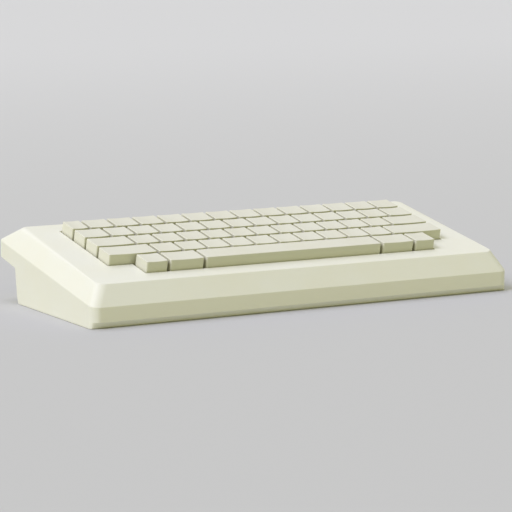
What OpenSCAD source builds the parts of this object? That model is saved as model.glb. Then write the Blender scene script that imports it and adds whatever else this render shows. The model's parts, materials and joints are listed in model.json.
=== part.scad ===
// A low, wedge-shaped home computer with its keyboard and its mainboard in one case.
// Millimetres. X runs along the rows of keys, Y from the front to the rear and Z up from the desk.
// The origin lies on the desk, under the middle of the case.
// "Deck" positions are given as [u, v, n]: u along X from the middle of the case, v up the
// sloping deck from its front edge, and n square to the deck, with 0 on its surface.

/* [Case] */
// Width of the case
case_w = 334; // [330:1:380]
// Depth of the case, with the overhang at the rear
case_d = 149; // [148:1:156]
// Slope of the deck and of the keys, in degrees
deck_tilt = 11; // [10:0.25:12]
// Height of the deck's front edge above the desk
deck_front_h = 28.4; // [28:0.2:32]
// How far the front bevel leans back
front_bevel = 7.6; // [5:0.2:9]
// How far each side bevel leans in
side_bevel = 8; // [5:0.5:9]
// How far the rear bevel leans forward
rear_bevel = 20; // [16:0.5:21]
// Height of the front bevel's lower edge
front_wall_h = 14.3; // [12:0.1:16]
// Height of the rear bevel's lower edge
rear_wall_h = 42; // [39:0.1:42]
// Radius of the case's upright corners
corner_r = 7; // [4:0.5:8]
// Thickness of the moulded walls
wall = 2.6; // [2.2:0.1:2.8]
// Height at which the upper and the lower shell part
split_h = 4.4; // [4.2:0.1:5]
// How far the lower shell's front edge is cut back at the desk
front_undercut = 3; // [1:0.5:4]
// Gap between the lower shell's lip or ledge and the upper shell
shell_gap = 0.3; // [0.2:0.05:0.4]

/* [Rear recess] */
// Depth of the recess under the rear overhang
recess_d = 29; // [27:0.5:30]
// Height of the recess at the rear wall
recess_h = 24.8; // [24.4:0.2:25.4]
// Height of the overhang's lower edge at the very rear
overhang_h = 30.8; // [29:0.2:32]
// How far the rear wall leans forward from the overhang down
rear_lean = 3; // [2:0.5:4]
// How far the rear wall's foot is cut back below that
rear_undercut = 2; // [1:0.5:5]
// Height of that cut
rear_undercut_h = 5.3; // [4.6:0.1:6]

/* [Keys] */
// Distance from key to key, along a row and from row to row
pitch = 19.05; // [18.8:0.05:19.2]
// Distance from the deck's front edge to the front row
key_margin = 13.4; // [13:0.1:14]
// Height of a key's top above the deck
key_h = 7.5; // [7:0.1:9]
// Gap between neighbouring key tops
cap_gap = 2; // [1.6:0.1:2.4]
// Wall of a key top
cap_wall = 1.3; // [1:0.1:1.4]
// Thickness of a key top's roof, before its dish
cap_roof = 1.6; // [1.4:0.1:2]
// Radius of a key top's upright corners
cap_r = 1.2; // [0.8:0.1:1.6]
// How far a key top's rear face leans forward
cap_lean = 0.7; // [0.3:0.1:0.9]
// How far a key top's walls reach down through the deck
cap_skirt = 3.2; // [2.8:0.1:3.4]
// Depth of the hollow in a key top
dish = 0.3; // [0.2:0.1:0.7]
// Flat rim beside the hollow
dish_rim = 0.7; // [0.5:0.1:0.8]
// Travel of a key
travel = 3.8; // [3:0.1:3.8]
// Width of the space bar, in key widths
space_bar_units = 7.5; // [7:0.25:8]

/* [Key switches] */
// Depth of the mounting plate's top below the deck
plate_n = 8; // [8:0.1:9]
// Thickness of the mounting plate
plate_t = 1.2; // [1:0.1:1.5]
// Gap between a key top's walls and the upper body of its switch
housing_gap = 0.35; // [0.3:0.05:0.5]
// Width of the square cut-out that a switch clips into
cutout_w = 14; // [13.6:0.1:14.4]
// Gap between a switch's lower body and its cut-out
cutout_gap = 0.1; // [0.05:0.05:0.2]
// Radius of a key's stem
stem_r = 2.3; // [2:0.1:2.4]
// Gap round a key's stem
stem_gap = 0.3; // [0.2:0.05:0.4]
// Thickness of a switch's floor
housing_floor = 0.8; // [0.6:0.1:1]
// Outer radius of a key's return spring
spring_r = 2.2; // [2:0.1:2.3]
// Wire thickness of a key's return spring
spring_wire = 0.4; // [0.3:0.1:0.6]
// Depth of the keyboard's circuit board below the deck
board_n = 13; // [12.8:0.1:13.6]

/* [Space bar wire] */
// Radius of the wire that keeps the space bar level
wire_r = 0.7; // [0.5:0.05:0.8]
// Running gap round the wire in its tabs
wire_gap = 0.05; // [0.03:0.01:0.08]
// Gap round the wire's hooks in the space bar's lugs
hook_gap = 0.3; // [0.2:0.05:0.4]
// Length of the wire's arms
wire_arm = 8; // [7.5:0.1:8.2]
// Radius of the wire's bends
wire_bend = 1.5; // [1:0.1:2]
// Distance from the middle of the space bar to each arm
wire_reach = 50; // [40:1:58]
// Distance of the wire's long run in front of the stem's centre
wire_v = 4.5; // [4.2:0.1:4.8]
// Depth of the wire's long run below the deck
wire_n = 0.5; // [0.4:0.05:0.6]

/* [Mainboard] */
// Height of the spacers under the mainboard
spacer_h = 4; // [3.8:0.1:4.4]
// Thickness of each circuit board
board_t = 1.6; // [1.2:0.1:2]
// Width of the mainboard
main_w = 235; // [233:1:238]
// Depth of the mainboard
main_d = 83.3; // [83:0.1:85]
// Distance of the mainboard's right edge from the case's right side
main_margin = 27; // [24:0.5:29]
// Gap between the mainboard and the rear wall
main_gap = 1.2; // [1:0.1:1.6]
// Length of the television modulator's can
modulator_len = 42; // [40:0.5:44]

/* [Sockets] */
// Bore radius of the power socket
power_bore_r = 2.75; // [2.5:0.05:3]
// Radius of the power socket's centre pin
power_pin_r = 1.05; // [0.8:0.05:1.2]
// Radius of the television socket's collar
phono_r = 4.15; // [4:0.05:4.3]
// Length of the collar behind the modulator
phono_len = 15; // [14:0.5:18]
// Bore radius of the tape sockets
tape_bore_r = 1.8; // [1.75:0.05:1.9]
// Bore length of the tape sockets
tape_bore_len = 13; // [11:0.5:14]
// Radius of the monitor socket's face
monitor_r = 6.8; // [6.4:0.1:6.9]
// Radius of the rear wall's hole for the power plug
plug_hole_r = 5; // [4.6:0.1:5.4]
// Height of the rear wall's window for the tape plugs
window_h = 13; // [12:0.5:14]
// Room beside the tape plugs in that window
window_side = 8; // [6:0.5:9]
// Room for a plug's shell round the monitor socket
shell_room = 0.8; // [0.5:0.1:0.9]
// Room for a plug's shell round the television socket's collar
collar_room = 3; // [2:0.1:3.2]
// Travel of the power switch
switch_travel = 5; // [4:0.25:5.5]
// How far the power switch's slider stands out of the rear wall
switch_reach = 1.6; // [1:0.1:2.5]
// Gap round the slider, in the switch and in the rear wall
slider_gap = 0.4; // [0.3:0.1:0.6]

/* [Screws and feet] */
// Shank radius of the screws
screw_r = 1.5; // [1.4:0.05:1.6]
// Head radius of the screws
head_r = 2.7; // [2.5:0.1:2.9]
// Head height of the screws
head_h = 1.9; // [1.6:0.1:2]
// Bite of a screw's thread into its boss
thread_bite = 0.25; // [0.15:0.05:0.3]
// Radius of the screw pillars
pillar_r = 3.5; // [3.2:0.1:4]
// Radius of the rubber feet
foot_r = 6; // [5:0.5:8]
// How far the feet stand proud of the case
foot_proud = 0.8; // [0.6:0.1:1.2]
// Depth of the feet's pockets in the case
foot_pocket = 1; // [0.8:0.1:1.2]

/* [Colours] */
// Moulded case
shell_colour = "#E9E8D6";
// Key tops
key_colour = "#CFCDB4";
// Switch bodies, sockets and other dark mouldings
black_colour = "#26262A";
// Circuit boards
board_colour = "#2F5B3A";
// Plated steel and tin
metal_colour = "#B8BABC";
// Rubber feet
rubber_colour = "#3A3A3C";

/* [Hidden] */
KEYS_A = ["key_a1", "key_a2", "space_bar", "key_a4", "key_a5"];
KEYS_B = [for (i = [1:12]) str("key_b", i)];
KEYS_C = [for (i = [1:13]) str("key_c", i)];

$fn = 48;
// The hollow of a wide key has a large radius, which needs more steps
dish_fn = 1440;
eps = 0.01;
far = 600;

// The case's main lines
front_y = -case_d / 2;
rear_y = case_d / 2;
deck_front_y = front_y + front_bevel;
deck_rear_y = rear_y - rear_bevel;
deck_len = (deck_rear_y - deck_front_y) / cos(deck_tilt);
side_tilt = atan((rear_wall_h - front_wall_h) / case_d);
base_h = foot_proud;
floor_h = base_h + wall;
recess_y = rear_y - recess_d;
rear_foot_y = recess_y - rear_lean;
shelf_tilt = atan((overhang_h - recess_h) / recess_d);

// Each row's keys, from the front row to the rear row: where it starts, and its keys' widths
row_start = [0.975, 0, 0, 0, 0];
end_units = (12.3 - space_bar_units - 2 * 0.95) / 2;
row_units = [
    [0.95, end_units, space_bar_units, end_units, 0.95],
    concat([2], [for (i = [1:10]) 1], [2.25]),
    concat([1.625], [for (i = [1:11]) 1], [1.625]),
    concat([1.125], [for (i = [1:12]) 1], [1.125]),
    concat([0.75], [for (i = [1:13]) 13.5 / 13])];
field_units = 14.25;
rows = len(row_units);
space_bar_key = 2;

function units_before(row, i) = i == 0 ? row_start[row] : units_before(row, i - 1) + row_units[row][i - 1];
function key_u(row, i) = (units_before(row, i) + row_units[row][i] / 2 - field_units / 2) * pitch;
function key_v(row) = key_margin + (row + 0.5) * pitch;
function row_end(row) = units_before(row, len(row_units[row]));

// The keyboard's layers, along n
deck_under_n = -wall;
cap_top_n = key_h;
cap_ceiling_n = key_h - cap_roof;
cap_bottom_n = -cap_skirt;
plate_top_n = -plate_n;
plate_under_n = plate_top_n - plate_t;
// Every switch has the same upper body, which the narrowest key top has room for
narrowest_units = min([for (widths = row_units) min(widths)]);
housing_w = narrowest_units * pitch - cap_gap - 2 * (cap_wall + housing_gap);
housing_d = pitch - cap_gap - 2 * (cap_wall + 2 * housing_gap);
housing_top_n = -1.6;
flange_t = 0.6;
flange_w = 15.6;
stem_bottom_n = -3.4;
board_top_n = -board_n;
board_under_n = board_top_n - board_t;
plate_half_u = field_units * pitch / 2 + 8.25;
plate_v0 = key_margin - 4;
plate_v1 = key_margin + rows * pitch + 8;
boss_r = 3;
boss_u = plate_half_u - 4;
notch_u = (field_units / 2 - row_start[0] / 2) * pitch;
boss_places = concat(
    [for (s = [-1, 1], v = [35, 100]) [s * boss_u, v]],
    [for (s = [-1, 1]) [s * notch_u, key_v(0)]],
    [for (s = [-1, 1]) [s * 70, plate_v1 - 4]]);

// The mainboard's levels and edges
main_under_h = floor_h + spacer_h;
main_top_h = main_under_h + board_t;
rear_slope = rear_lean / (recess_h - rear_undercut_h);
main_y1 = rear_foot_y - wall + (main_top_h - rear_undercut_h) * rear_slope - main_gap;
main_y0 = main_y1 - main_d;
main_x1 = case_w / 2 - main_margin;
main_x0 = main_x1 - main_w;
spacer_r = 3;
spacer_xs = [main_x0 + 6, main_x0 + main_w / 2, main_x1 - 6];
spacer_places = [for (x = spacer_xs, y = [main_y0 + 5, main_y1 - 24]) [x, y]];
board_screw_len = 5;
screw_tip_gap = 0.5;

// Screws that hold the shells, and feet
pillar_u = case_w / 2 - 17;
pillar_places = [for (s = [-1, 1], y = [front_y + 17, rear_foot_y - 22.5]) [s * pillar_u, y]];
shelf_pillar_places = [for (s = [-1, 1]) [s * (pillar_u - 45), recess_y + 16]];
foot_step = 22;
foot_shift = 2;
pillar_foot_h = 8;
case_screw_len = 9;
counterbore_h = head_h + 0.6;
foot_places = [for (p = pillar_places) [p.x - sign(p.x) * foot_step, p.y + foot_shift]];

// Sockets in the rear wall
power_x = main_x1 - 18;
modulator_x = power_x - 38;
monitor_x = modulator_x - 42;
tape_xs = [monitor_x - 28, monitor_x - 44];
switch_x = main_x0 + 33;
socket_axis_h = main_top_h + 5.2;
monitor_axis_h = main_top_h + 7.4;
modulator_w = 26;
modulator_h = 14;
phono_axis_h = main_top_h + modulator_h / 2;
// The sockets' faces lie just inside the rear wall
socket_nose_y = main_y1 + main_gap;
power_nose_r = 4;
tape_nose_r = 3;
monitor_pins = 5;
monitor_pin_r = 1;
monitor_pin_ring = 4;
slider_w = 4;
slider_h = 3;
slider_foot_w = 7;
slider_foot_h = 5;
grille_hole_r = 1.2;
grille_rings = 3;
grille_step = 5;
speaker_r = 20;
speaker_h = 10;
speaker_gap = 5;
speaker_x = main_x0 - speaker_r - speaker_gap;
speaker_y = main_y0 + main_d / 2 - 3.6;

// Cooling slots in the floor, under the mainboard
slots = 8;
slot_x = main_x0 + 25;
slot_y = main_y0 + 14;
slot_w = 3;
slot_len = 34;
slot_step = 14;

module on_deck(u = 0, v = 0, n = 0) {
    translate([0, deck_front_y, deck_front_h])
        rotate([deck_tilt, 0, 0])
            translate([u, v, n])
                children();
}

module block(w, d, z0, z1) {
    translate([-w / 2, -d / 2, z0])
        cube([w, d, z1 - z0]);
}

// An upright block with round corners
module rounded_block(w, d, r, z0, z1) {
    translate([0, 0, z0])
        linear_extrude(z1 - z0) {
            square([w - 2 * r, d], center = true);
            square([w, d - 2 * r], center = true);
            for (x = [-1, 1], y = [-1, 1])
                translate([x * (w / 2 - r), y * (d / 2 - r)])
                    circle(r);
        }
}

// A profile in [y, z], drawn out along X over the width w
module along_x(points, w) {
    translate([-w / 2, 0, 0])
        rotate([90, 0, 90])
            linear_extrude(w)
                polygon(points);
}

// The case's outer form before its rear recess is cut, taken in by inset
module case_form(inset) {
    r = corner_r - inset;
    deck_inset = 0.6 * inset;
    hull() {
        intersection() {
            for (x = [-1, 1], y = [-1, 1])
                translate([x * (case_w / 2 - corner_r), y * (case_d / 2 - corner_r), base_h])
                    cylinder(r = r, h = rear_wall_h + corner_r);
            translate([0, front_y, front_wall_h - 0.25 * inset])
                rotate([side_tilt, 0, 0])
                    translate([-far / 2, -far / 2, -far])
                        cube(far);
        }
        for (x = [-1, 1], v = [corner_r + deck_inset, deck_len - corner_r - deck_inset])
            on_deck(x * (case_w / 2 - side_bevel - corner_r - deck_inset), v, -inset - eps)
                cylinder(r = r + inset, h = eps);
    }
}

// What the rear recess takes away, grown by g into the case
function recess_points(g) = [
    [rear_foot_y - rear_undercut - g, -1],
    [rear_foot_y - rear_undercut - g, base_h],
    [rear_foot_y - g, rear_undercut_h + g / 2],
    [recess_y - g, recess_h + g],
    [rear_y + 5, overhang_h + g + 5 * tan(shelf_tilt)],
    [rear_y + 5, -1]];

module screw(length) {
    cylinder(r = head_r, h = head_h);
    translate([0, 0, head_h - eps])
        cylinder(r = screw_r, h = length + eps);
}

// Upper shell: deck, bevels, side walls, front wall and the band across the rear
module key_opening() {
    on_deck(0, 0, deck_under_n - 1)
        linear_extrude(wall + 2) {
            translate([-field_units / 2 * pitch, key_margin + pitch])
                square([field_units * pitch, (rows - 1) * pitch]);
            translate([(row_start[0] - field_units / 2) * pitch, key_margin])
                square([(row_end(0) - row_start[0]) * pitch, pitch + 1]);
        }
}

module top_case() {
    color(shell_colour)
        difference() {
            union() {
                difference() {
                    case_form(0);
                    case_form(wall);
                }
                intersection() {
                    case_form(wall / 2);
                    union() {
                        for (p = pillar_places)
                            translate([p.x, p.y, pillar_foot_h])
                                cylinder(r = pillar_r, h = far);
                        for (p = shelf_pillar_places)
                            translate([p.x, p.y, shelf_top(p.y)])
                                cylinder(r = pillar_r, h = far);
                        for (p = boss_places)
                            on_deck(p.x, p.y, plate_top_n)
                                cylinder(r = boss_r, h = plate_n - wall / 2);
                    }
                }
            }
            key_opening();
            translate([-far / 2, -far / 2, -far + split_h])
                cube(far);
            along_x(recess_points(0), case_w + 2);
            for (p = pillar_places)
                translate([p.x, p.y, pillar_foot_h - eps])
                    cylinder(r = screw_r - thread_bite, h = case_screw_len);
            for (p = shelf_pillar_places)
                translate([p.x, p.y, shelf_top(p.y) - eps])
                    cylinder(r = screw_r - thread_bite, h = case_screw_len);
            for (p = boss_places)
                on_deck(p.x, p.y, plate_top_n - eps)
                    cylinder(r = screw_r - thread_bite, h = board_screw_len);
        }
}

// Height of the ledge's upper side over the recess, at y, and the screw seat on it
function shelf_under(y) = recess_h + (y - recess_y) * tan(shelf_tilt);
function shelf_top(y) = shelf_under(y) + wall + 1.4;

// Round hole through the rear wall
module rear_hole(x, h, r) {
    translate([x, 0, h])
        rotate([-90, 0, 0])
            cylinder(r = r, h = rear_y);
}

module rear_wall_holes() {
    rear_hole(power_x, socket_axis_h, plug_hole_r);
    rear_hole(modulator_x, phono_axis_h, phono_r + collar_room);
    rear_hole(monitor_x, monitor_axis_h, monitor_r + shell_room);
    translate([min(tape_xs) - window_side, main_y1, socket_axis_h - window_h / 2])
        cube([max(tape_xs) - min(tape_xs) + 2 * window_side, rear_y, window_h]);
    translate([switch_x - slider_w / 2 - slider_gap, 0, socket_axis_h - slider_h / 2 - slider_gap])
        cube([slider_w + switch_travel + 2 * slider_gap, rear_y, slider_h + 2 * slider_gap]);
}

module floor_slots() {
    for (i = [0:slots - 1])
        translate([slot_x + i * slot_step, slot_y, base_h - 1])
            cube([slot_w, slot_len, wall + 2]);
}

module speaker_grille() {
    translate([speaker_x, speaker_y, base_h - 1]) {
        cylinder(r = grille_hole_r, h = wall + 2);
        for (ring = [1:grille_rings], i = [0:6 * ring - 1])
            rotate(i * 60 / ring)
                translate([ring * grille_step, 0, 0])
                    cylinder(r = grille_hole_r, h = wall + 2);
    }
}

// Lower shell: floor, locating lip, spacers, rear wall and the ledge over the recess
module bottom_case() {
    front_cut = [
        [front_y - 1, split_h + (split_h - base_h) / front_undercut],
        [front_y + front_undercut + 1, base_h - (split_h - base_h) / front_undercut],
        [front_y - 1, -1]];
    color(shell_colour)
        difference() {
            union() {
                difference() {
                    intersection() {
                        case_form(0);
                        translate([-far / 2, -far / 2, 0])
                            cube([far, far, split_h]);
                    }
                    intersection() {
                        case_form(wall);
                        translate([-far / 2, -far / 2, floor_h])
                            cube(far);
                    }
                }
                difference() {
                    intersection() {
                        case_form(wall + shell_gap);
                        translate([-far / 2, -far / 2, floor_h - eps])
                            cube([far, far + rear_foot_y - rear_undercut - 4 - far / 2, 5]);
                    }
                    case_form(2 * wall);
                }
                intersection() {
                    case_form(wall + shell_gap);
                    along_x(recess_points(wall), case_w);
                    translate([-far / 2, -far / 2, floor_h - eps])
                        cube(far);
                }
                for (p = spacer_places)
                    translate([p.x, p.y, floor_h - eps])
                        cylinder(r = spacer_r, h = spacer_h + eps);
                for (p = pillar_places)
                    translate([p.x, p.y, base_h])
                        cylinder(r = head_r + 2, h = pillar_foot_h - base_h);
                for (p = shelf_pillar_places)
                    translate([p.x, p.y, shelf_under(p.y) - 1])
                        cylinder(r = head_r + 2, h = shelf_top(p.y) - shelf_under(p.y) + 1);
            }
            along_x(front_cut, case_w + 2);
            along_x(recess_points(0), case_w + 2);
            rear_wall_holes();
            floor_slots();
            speaker_grille();
            for (p = spacer_places)
                translate([p.x, p.y, main_top_h - board_screw_len - screw_tip_gap])
                    cylinder(r = screw_r - thread_bite, h = far);
            for (p = pillar_places)
                translate([p.x, p.y, 0]) {
                    cylinder(r = head_r + 0.4, h = base_h + counterbore_h);
                    cylinder(r = screw_r + 0.2, h = far);
                }
            for (p = shelf_pillar_places)
                translate([p.x, p.y, 0]) {
                    cylinder(r = head_r + 0.4, h = shelf_top(p.y) - 2);
                    cylinder(r = screw_r + 0.2, h = far);
                }
            for (p = foot_places)
                translate([p.x, p.y, 0])
                    cylinder(r = foot_r + 0.2, h = base_h + foot_pocket);
        }
}

// Steel plate that carries the switches, with two tabs for the space bar's wire
module keyboard_plate() {
    color(metal_colour) {
        on_deck()
            difference() {
                union() {
                    translate([-plate_half_u, plate_v0, plate_under_n])
                        cube([2 * plate_half_u, plate_v1 - plate_v0, plate_t]);
                    for (s = [-1, 1])
                        translate([s * (wire_reach - 4) - 0.6, key_v(0) - wire_v - 2, plate_under_n])
                            cube([1.2, 4, -wire_n + 1.5 - plate_under_n]);
                }
                for (row = [0:rows - 1], i = [0:len(row_units[row]) - 1])
                    translate([key_u(row, i), key_v(row), 0])
                        block(cutout_w, cutout_w, plate_under_n - 1, plate_top_n + 1);
                for (p = boss_places)
                    translate([p.x, p.y, plate_under_n - 1])
                        cylinder(r = screw_r + 0.2, h = plate_t + 2);
                translate([-wire_reach, key_v(0) - wire_v, -wire_n])
                    rotate([0, 90, 0])
                        cylinder(r = wire_r + wire_gap, h = 2 * wire_reach);
            }
    }
}

module keyboard_board() {
    color(board_colour)
        on_deck()
            difference() {
                translate([-field_units * pitch / 2, plate_v0 + 1.5, board_under_n])
                    cube([field_units * pitch, rows * pitch + 4, board_t]);
                for (s = [-1, 1])
                    translate([s * notch_u, key_v(0), board_under_n - 1])
                        cylinder(r = head_r + 0.8, h = board_t + 2);
            }
}

module switch_housings() {
    lower_w = cutout_w - 2 * cutout_gap;
    color(black_colour)
        on_deck()
            for (row = [0:rows - 1], i = [0:len(row_units[row]) - 1])
                translate([key_u(row, i), key_v(row), 0])
                    difference() {
                        union() {
                            block(housing_w, housing_d, plate_top_n, housing_top_n);
                            block(flange_w, flange_w, plate_top_n, plate_top_n + flange_t);
                            block(lower_w, lower_w, board_top_n, plate_top_n);
                        }
                        translate([0, 0, board_top_n + housing_floor])
                            cylinder(r = stem_r + stem_gap, h = board_n);
                    }
}

module key_springs() {
    color(metal_colour)
        on_deck()
            for (row = [0:rows - 1], i = [0:len(row_units[row]) - 1])
                translate([key_u(row, i), key_v(row), board_top_n + housing_floor])
                    difference() {
                        cylinder(r = spring_r, h = stem_bottom_n - board_top_n - housing_floor);
                        translate([0, 0, -1])
                            cylinder(r = spring_r - spring_wire, h = board_n);
                    }
}

// A key's top and its stem, round the point where its axis meets the deck
module key_top(units, dished) {
    w = units * pitch - cap_gap;
    d = pitch - cap_gap;
    dish_half = w / 2 - dish_rim;
    dish_r = (pow(dish_half, 2) + pow(dish, 2)) / (2 * dish);
    difference() {
        rounded_block(w, d, cap_r, cap_bottom_n, cap_top_n);
        block(w - 2 * cap_wall, d - 2 * cap_wall, cap_bottom_n - 1, cap_ceiling_n);
        along_x([
            [d / 2, cap_bottom_n],
            [d / 2 + 1, cap_bottom_n],
            [d / 2 + 1, cap_top_n + 1],
            [d / 2 - cap_lean * (1 + 1 / (cap_top_n - cap_bottom_n)), cap_top_n + 1]], w + 2);
        if (dished)
            translate([0, 0, cap_top_n - dish + dish_r])
                rotate([90, 0, 0])
                    cylinder(r = dish_r, h = d + 2, center = true, $fn = dish_fn);
    }
    translate([0, 0, stem_bottom_n])
        cylinder(r = stem_r, h = cap_ceiling_n - stem_bottom_n);
}

module key(row, i) {
    color(key_colour)
        on_deck(key_u(row, i), key_v(row))
            key_top(row_units[row][i], true);
}

module key_group(row, first, last) {
    for (i = [first:last])
        key(row, i);
}

// The wire's arms point this far up at rest and as far down when the bar is pressed. Their ends
// turn outwards into slots in two lugs under the bar.
wire_angle = asin(travel / 2 / wire_arm);
lug_out = 3;
lug_w = 2;
lug_d = 5.6;
lug_floor = 1.2;

module space_bar() {
    hook_v = -wire_v + wire_arm * cos(wire_angle);
    hook_n = -wire_n + travel / 2;
    hook_sway = wire_arm * (1 - cos(wire_angle));
    slot_half = wire_r + hook_gap;
    color(key_colour)
        on_deck(key_u(0, space_bar_key), key_v(0)) {
            difference() {
                union() {
                    key_top(space_bar_units, false);
                    for (s = [-1, 1])
                        translate([s * (wire_reach + lug_out), hook_v, 0])
                            block(lug_w, lug_d, hook_n - slot_half - lug_floor, cap_ceiling_n);
                }
                for (s = [-1, 1])
                    translate([s * (wire_reach + lug_out), hook_v + hook_sway / 2, 0])
                        block(lug_w + 2, 2 * slot_half + hook_sway, hook_n - slot_half, hook_n + slot_half);
            }
        }
}

module wire_rod(length) {
    rotate([0, 90, 0])
        cylinder(r = wire_r, h = length);
}

module wire_elbow(start) {
    rotate([0, 0, start])
        rotate_extrude(angle = 90)
            translate([wire_bend, 0])
                circle(wire_r);
}

module space_bar_wire() {
    hook_end = wire_reach + lug_out + lug_w;
    color(metal_colour)
        on_deck(0, key_v(0) - wire_v, -wire_n)
            rotate([wire_angle, 0, 0]) {
                translate([wire_bend - wire_reach, 0, 0])
                    wire_rod(2 * (wire_reach - wire_bend));
                for (s = [0, 1])
                    mirror([s, 0, 0]) {
                        translate([wire_reach - wire_bend, wire_bend, 0])
                            wire_elbow(-90);
                        translate([wire_reach, wire_bend, 0])
                            rotate([0, 0, 90])
                                wire_rod(wire_arm - 2 * wire_bend);
                        translate([wire_reach + wire_bend, wire_arm - wire_bend, 0])
                            wire_elbow(90);
                        translate([wire_reach + wire_bend, wire_arm, 0])
                            wire_rod(hook_end - wire_reach - wire_bend);
                    }
            }
}

// Flat cable in a half turn between a plug under the key board and one on the mainboard
cable_w = 30;
cable_x = main_x0 + 33;

module keyboard_cable() {
    cable_y = main_y1 - 21.3;
    low_h = main_top_h + 8;
    high_h = deck_front_h + (cable_y - deck_front_y) * tan(deck_tilt) + board_under_n / cos(deck_tilt) - 4;
    turn_r = (high_h - low_h) / 2;
    color("#A9A48F") {
        translate([cable_x, cable_y, 0])
            block(cable_w, 6, main_top_h, low_h + 0.5);
        intersection() {
            translate([cable_x, cable_y, 0])
                block(cable_w, 6, high_h - 0.5, high_h + 20);
            on_deck(0, 0, board_under_n - far)
                translate([-far / 2, -far / 2, 0])
                    cube(far);
        }
        translate([cable_x - cable_w / 2 + 2, cable_y, low_h + turn_r])
            rotate([90, 0, 90])
                linear_extrude(cable_w - 4)
                    difference() {
                        circle(turn_r + 0.4);
                        circle(turn_r - 0.4);
                        translate([0, -far / 2])
                            square(far);
                    }
    }
}

module mainboard() {
    color(board_colour)
        difference() {
            translate([main_x0, main_y0, main_under_h])
                cube([main_x1 - main_x0, main_y1 - main_y0, board_t]);
            for (p = spacer_places)
                translate([p.x, p.y, main_under_h - 1])
                    cylinder(r = screw_r + 0.2, h = board_t + 2);
        }
}

// Stands its children on the mainboard, x and y from the board's left front corner
module on_board(x, y) {
    translate([main_x0 + x, main_y0 + y, main_top_h])
        children();
}

// Two rows of chips, each given by the pins along one side of its chips. Equal gaps spread a row
// over its run, and chips with more than small_pins a side stand in sockets.
chip_pin = 2.54;
chip_h = 3.6;
socket_h = 3.5;
small_pins = 8;
front_chips = [20, 20, 14, 7, 7];
rear_chips = [8, 8, 8, 8, 8, 8];

function chip_len(pins) = pins * chip_pin + 1;
function row_len(row, n) = n == 0 ? 0 : row_len(row, n - 1) + chip_len(row[n - 1]);
function chip_row(row, y, run) =
    let (gap = (run - row_len(row, len(row))) / (len(row) + 1))
    [for (i = [0:len(row) - 1]) [gap * (i + 1) + row_len(row, i) + chip_len(row[i]) / 2, y, row[i]]];

chip_places = concat(
    chip_row(front_chips, 20, main_w),
    chip_row(rear_chips, 46, modulator_x - modulator_w / 2 - main_x0));
large_places = [for (p = chip_places) if (p.z > small_pins) p];
small_places = [for (p = chip_places) if (p.z <= small_pins) p];

module chip_body(pins, w, z0) {
    difference() {
        block(chip_len(pins), w, z0, z0 + chip_h);
        translate([-chip_len(pins) / 2, 0, z0 + chip_h - 0.6])
            cylinder(r = 1.2, h = 1);
    }
}

module large_chips() {
    color(black_colour)
        for (p = large_places)
            on_board(p.x, p.y)
                chip_body(p.z, 13.8, socket_h);
}

module chip_sockets() {
    color(black_colour)
        for (p = large_places)
            on_board(p.x, p.y)
                difference() {
                    block(chip_len(p.z) + 0.6, 17.6, 0, socket_h);
                    block(p.z * chip_pin - 4, 9, -1, socket_h + 1);
                }
}

module small_chips() {
    color(black_colour)
        for (p = small_places)
            on_board(p.x, p.y) {
                chip_body(p.z, 6.4, 0.8);
                for (i = [0:p.z - 1], s = [-1, 1])
                    translate([(i - (p.z - 1) / 2) * chip_pin, s * 3.6, 0])
                        block(1.2, 0.8 + 2 * eps, 0, 2.6);
            }
}

// Capacitors round the television modulator, [x from its middle, y, radius, height], and one beside
// the keyboard's cable
modulator_u = modulator_x - main_x0;
capacitor_places = concat(
    [for (c = [[20, 50, 5, 14], [21, 64, 4, 11], [30, 60, 4, 11], [-22, 60, 3, 8]])
        [modulator_u + c[0], c[1], c[2], c[3]]],
    [[cable_x + cable_w / 2 + 8 - main_x0, 60, 3, 8]]);

module capacitors() {
    color("#2B3E6B")
        for (p = capacitor_places)
            on_board(p[0], p[1])
                cylinder(r = p[2], h = p[3]);
}

// The crystal stands in front of the television modulator
module crystal() {
    color(metal_colour)
        translate([modulator_x - 4, main_y1 - modulator_len - 9.3, main_top_h]) {
            rounded_block(11, 4.6, 2.2, 0.6, 10);
            rounded_block(12, 5.4, 2.6, 0, 0.6);
        }
}

// The regulator and its heat sink stand in front of the power socket
regulator_x = main_x1 - 10;
regulator_y = main_y1 - 45.3;
regulator_h = 12.5;

module voltage_regulator() {
    color(black_colour)
        translate([regulator_x, regulator_y, main_top_h])
            difference() {
                block(10.2, 4.4, 0, regulator_h);
                translate([0, 5, regulator_h - 3])
                    rotate([90, 0, 0])
                        cylinder(r = 1.8, h = 10);
            }
}

module heatsink() {
    fin_w = 1.2;
    color(metal_colour)
        translate([regulator_x, regulator_y + 2.2, main_top_h]) {
            translate([-9, 0, 0])
                cube([18, 2, regulator_h - 1]);
            for (i = [0:4])
                translate([-9 + i * (18 - fin_w) / 4, 2 - eps, 0])
                    cube([fin_w, 9, regulator_h - 1]);
        }
}

module tv_modulator() {
    color(metal_colour)
        translate([modulator_x, 0, main_top_h])
            difference() {
                union() {
                    translate([-modulator_w / 2, main_y1 - modulator_len, 0])
                        cube([modulator_w, modulator_len, modulator_h]);
                    translate([0, main_y1 - eps, modulator_h / 2])
                        rotate([-90, 0, 0])
                            cylinder(r = phono_r, h = phono_len + eps);
                }
                translate([0, main_y1, modulator_h / 2])
                    rotate([-90, 0, 0])
                        cylinder(r = 1.6, h = phono_len + 1);
            }
}

// A socket's body on the mainboard, with a round nose that reaches into the rear wall's hole
module socket_body(w, d, h, nose_r, axis_h) {
    translate([0, main_y1 - d, 0])
        translate([-w / 2, 0, main_top_h])
            cube([w, d, h]);
    translate([0, main_y1 - eps, axis_h])
        rotate([-90, 0, 0])
            cylinder(r = nose_r, h = socket_nose_y - main_y1 + eps);
}

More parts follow.
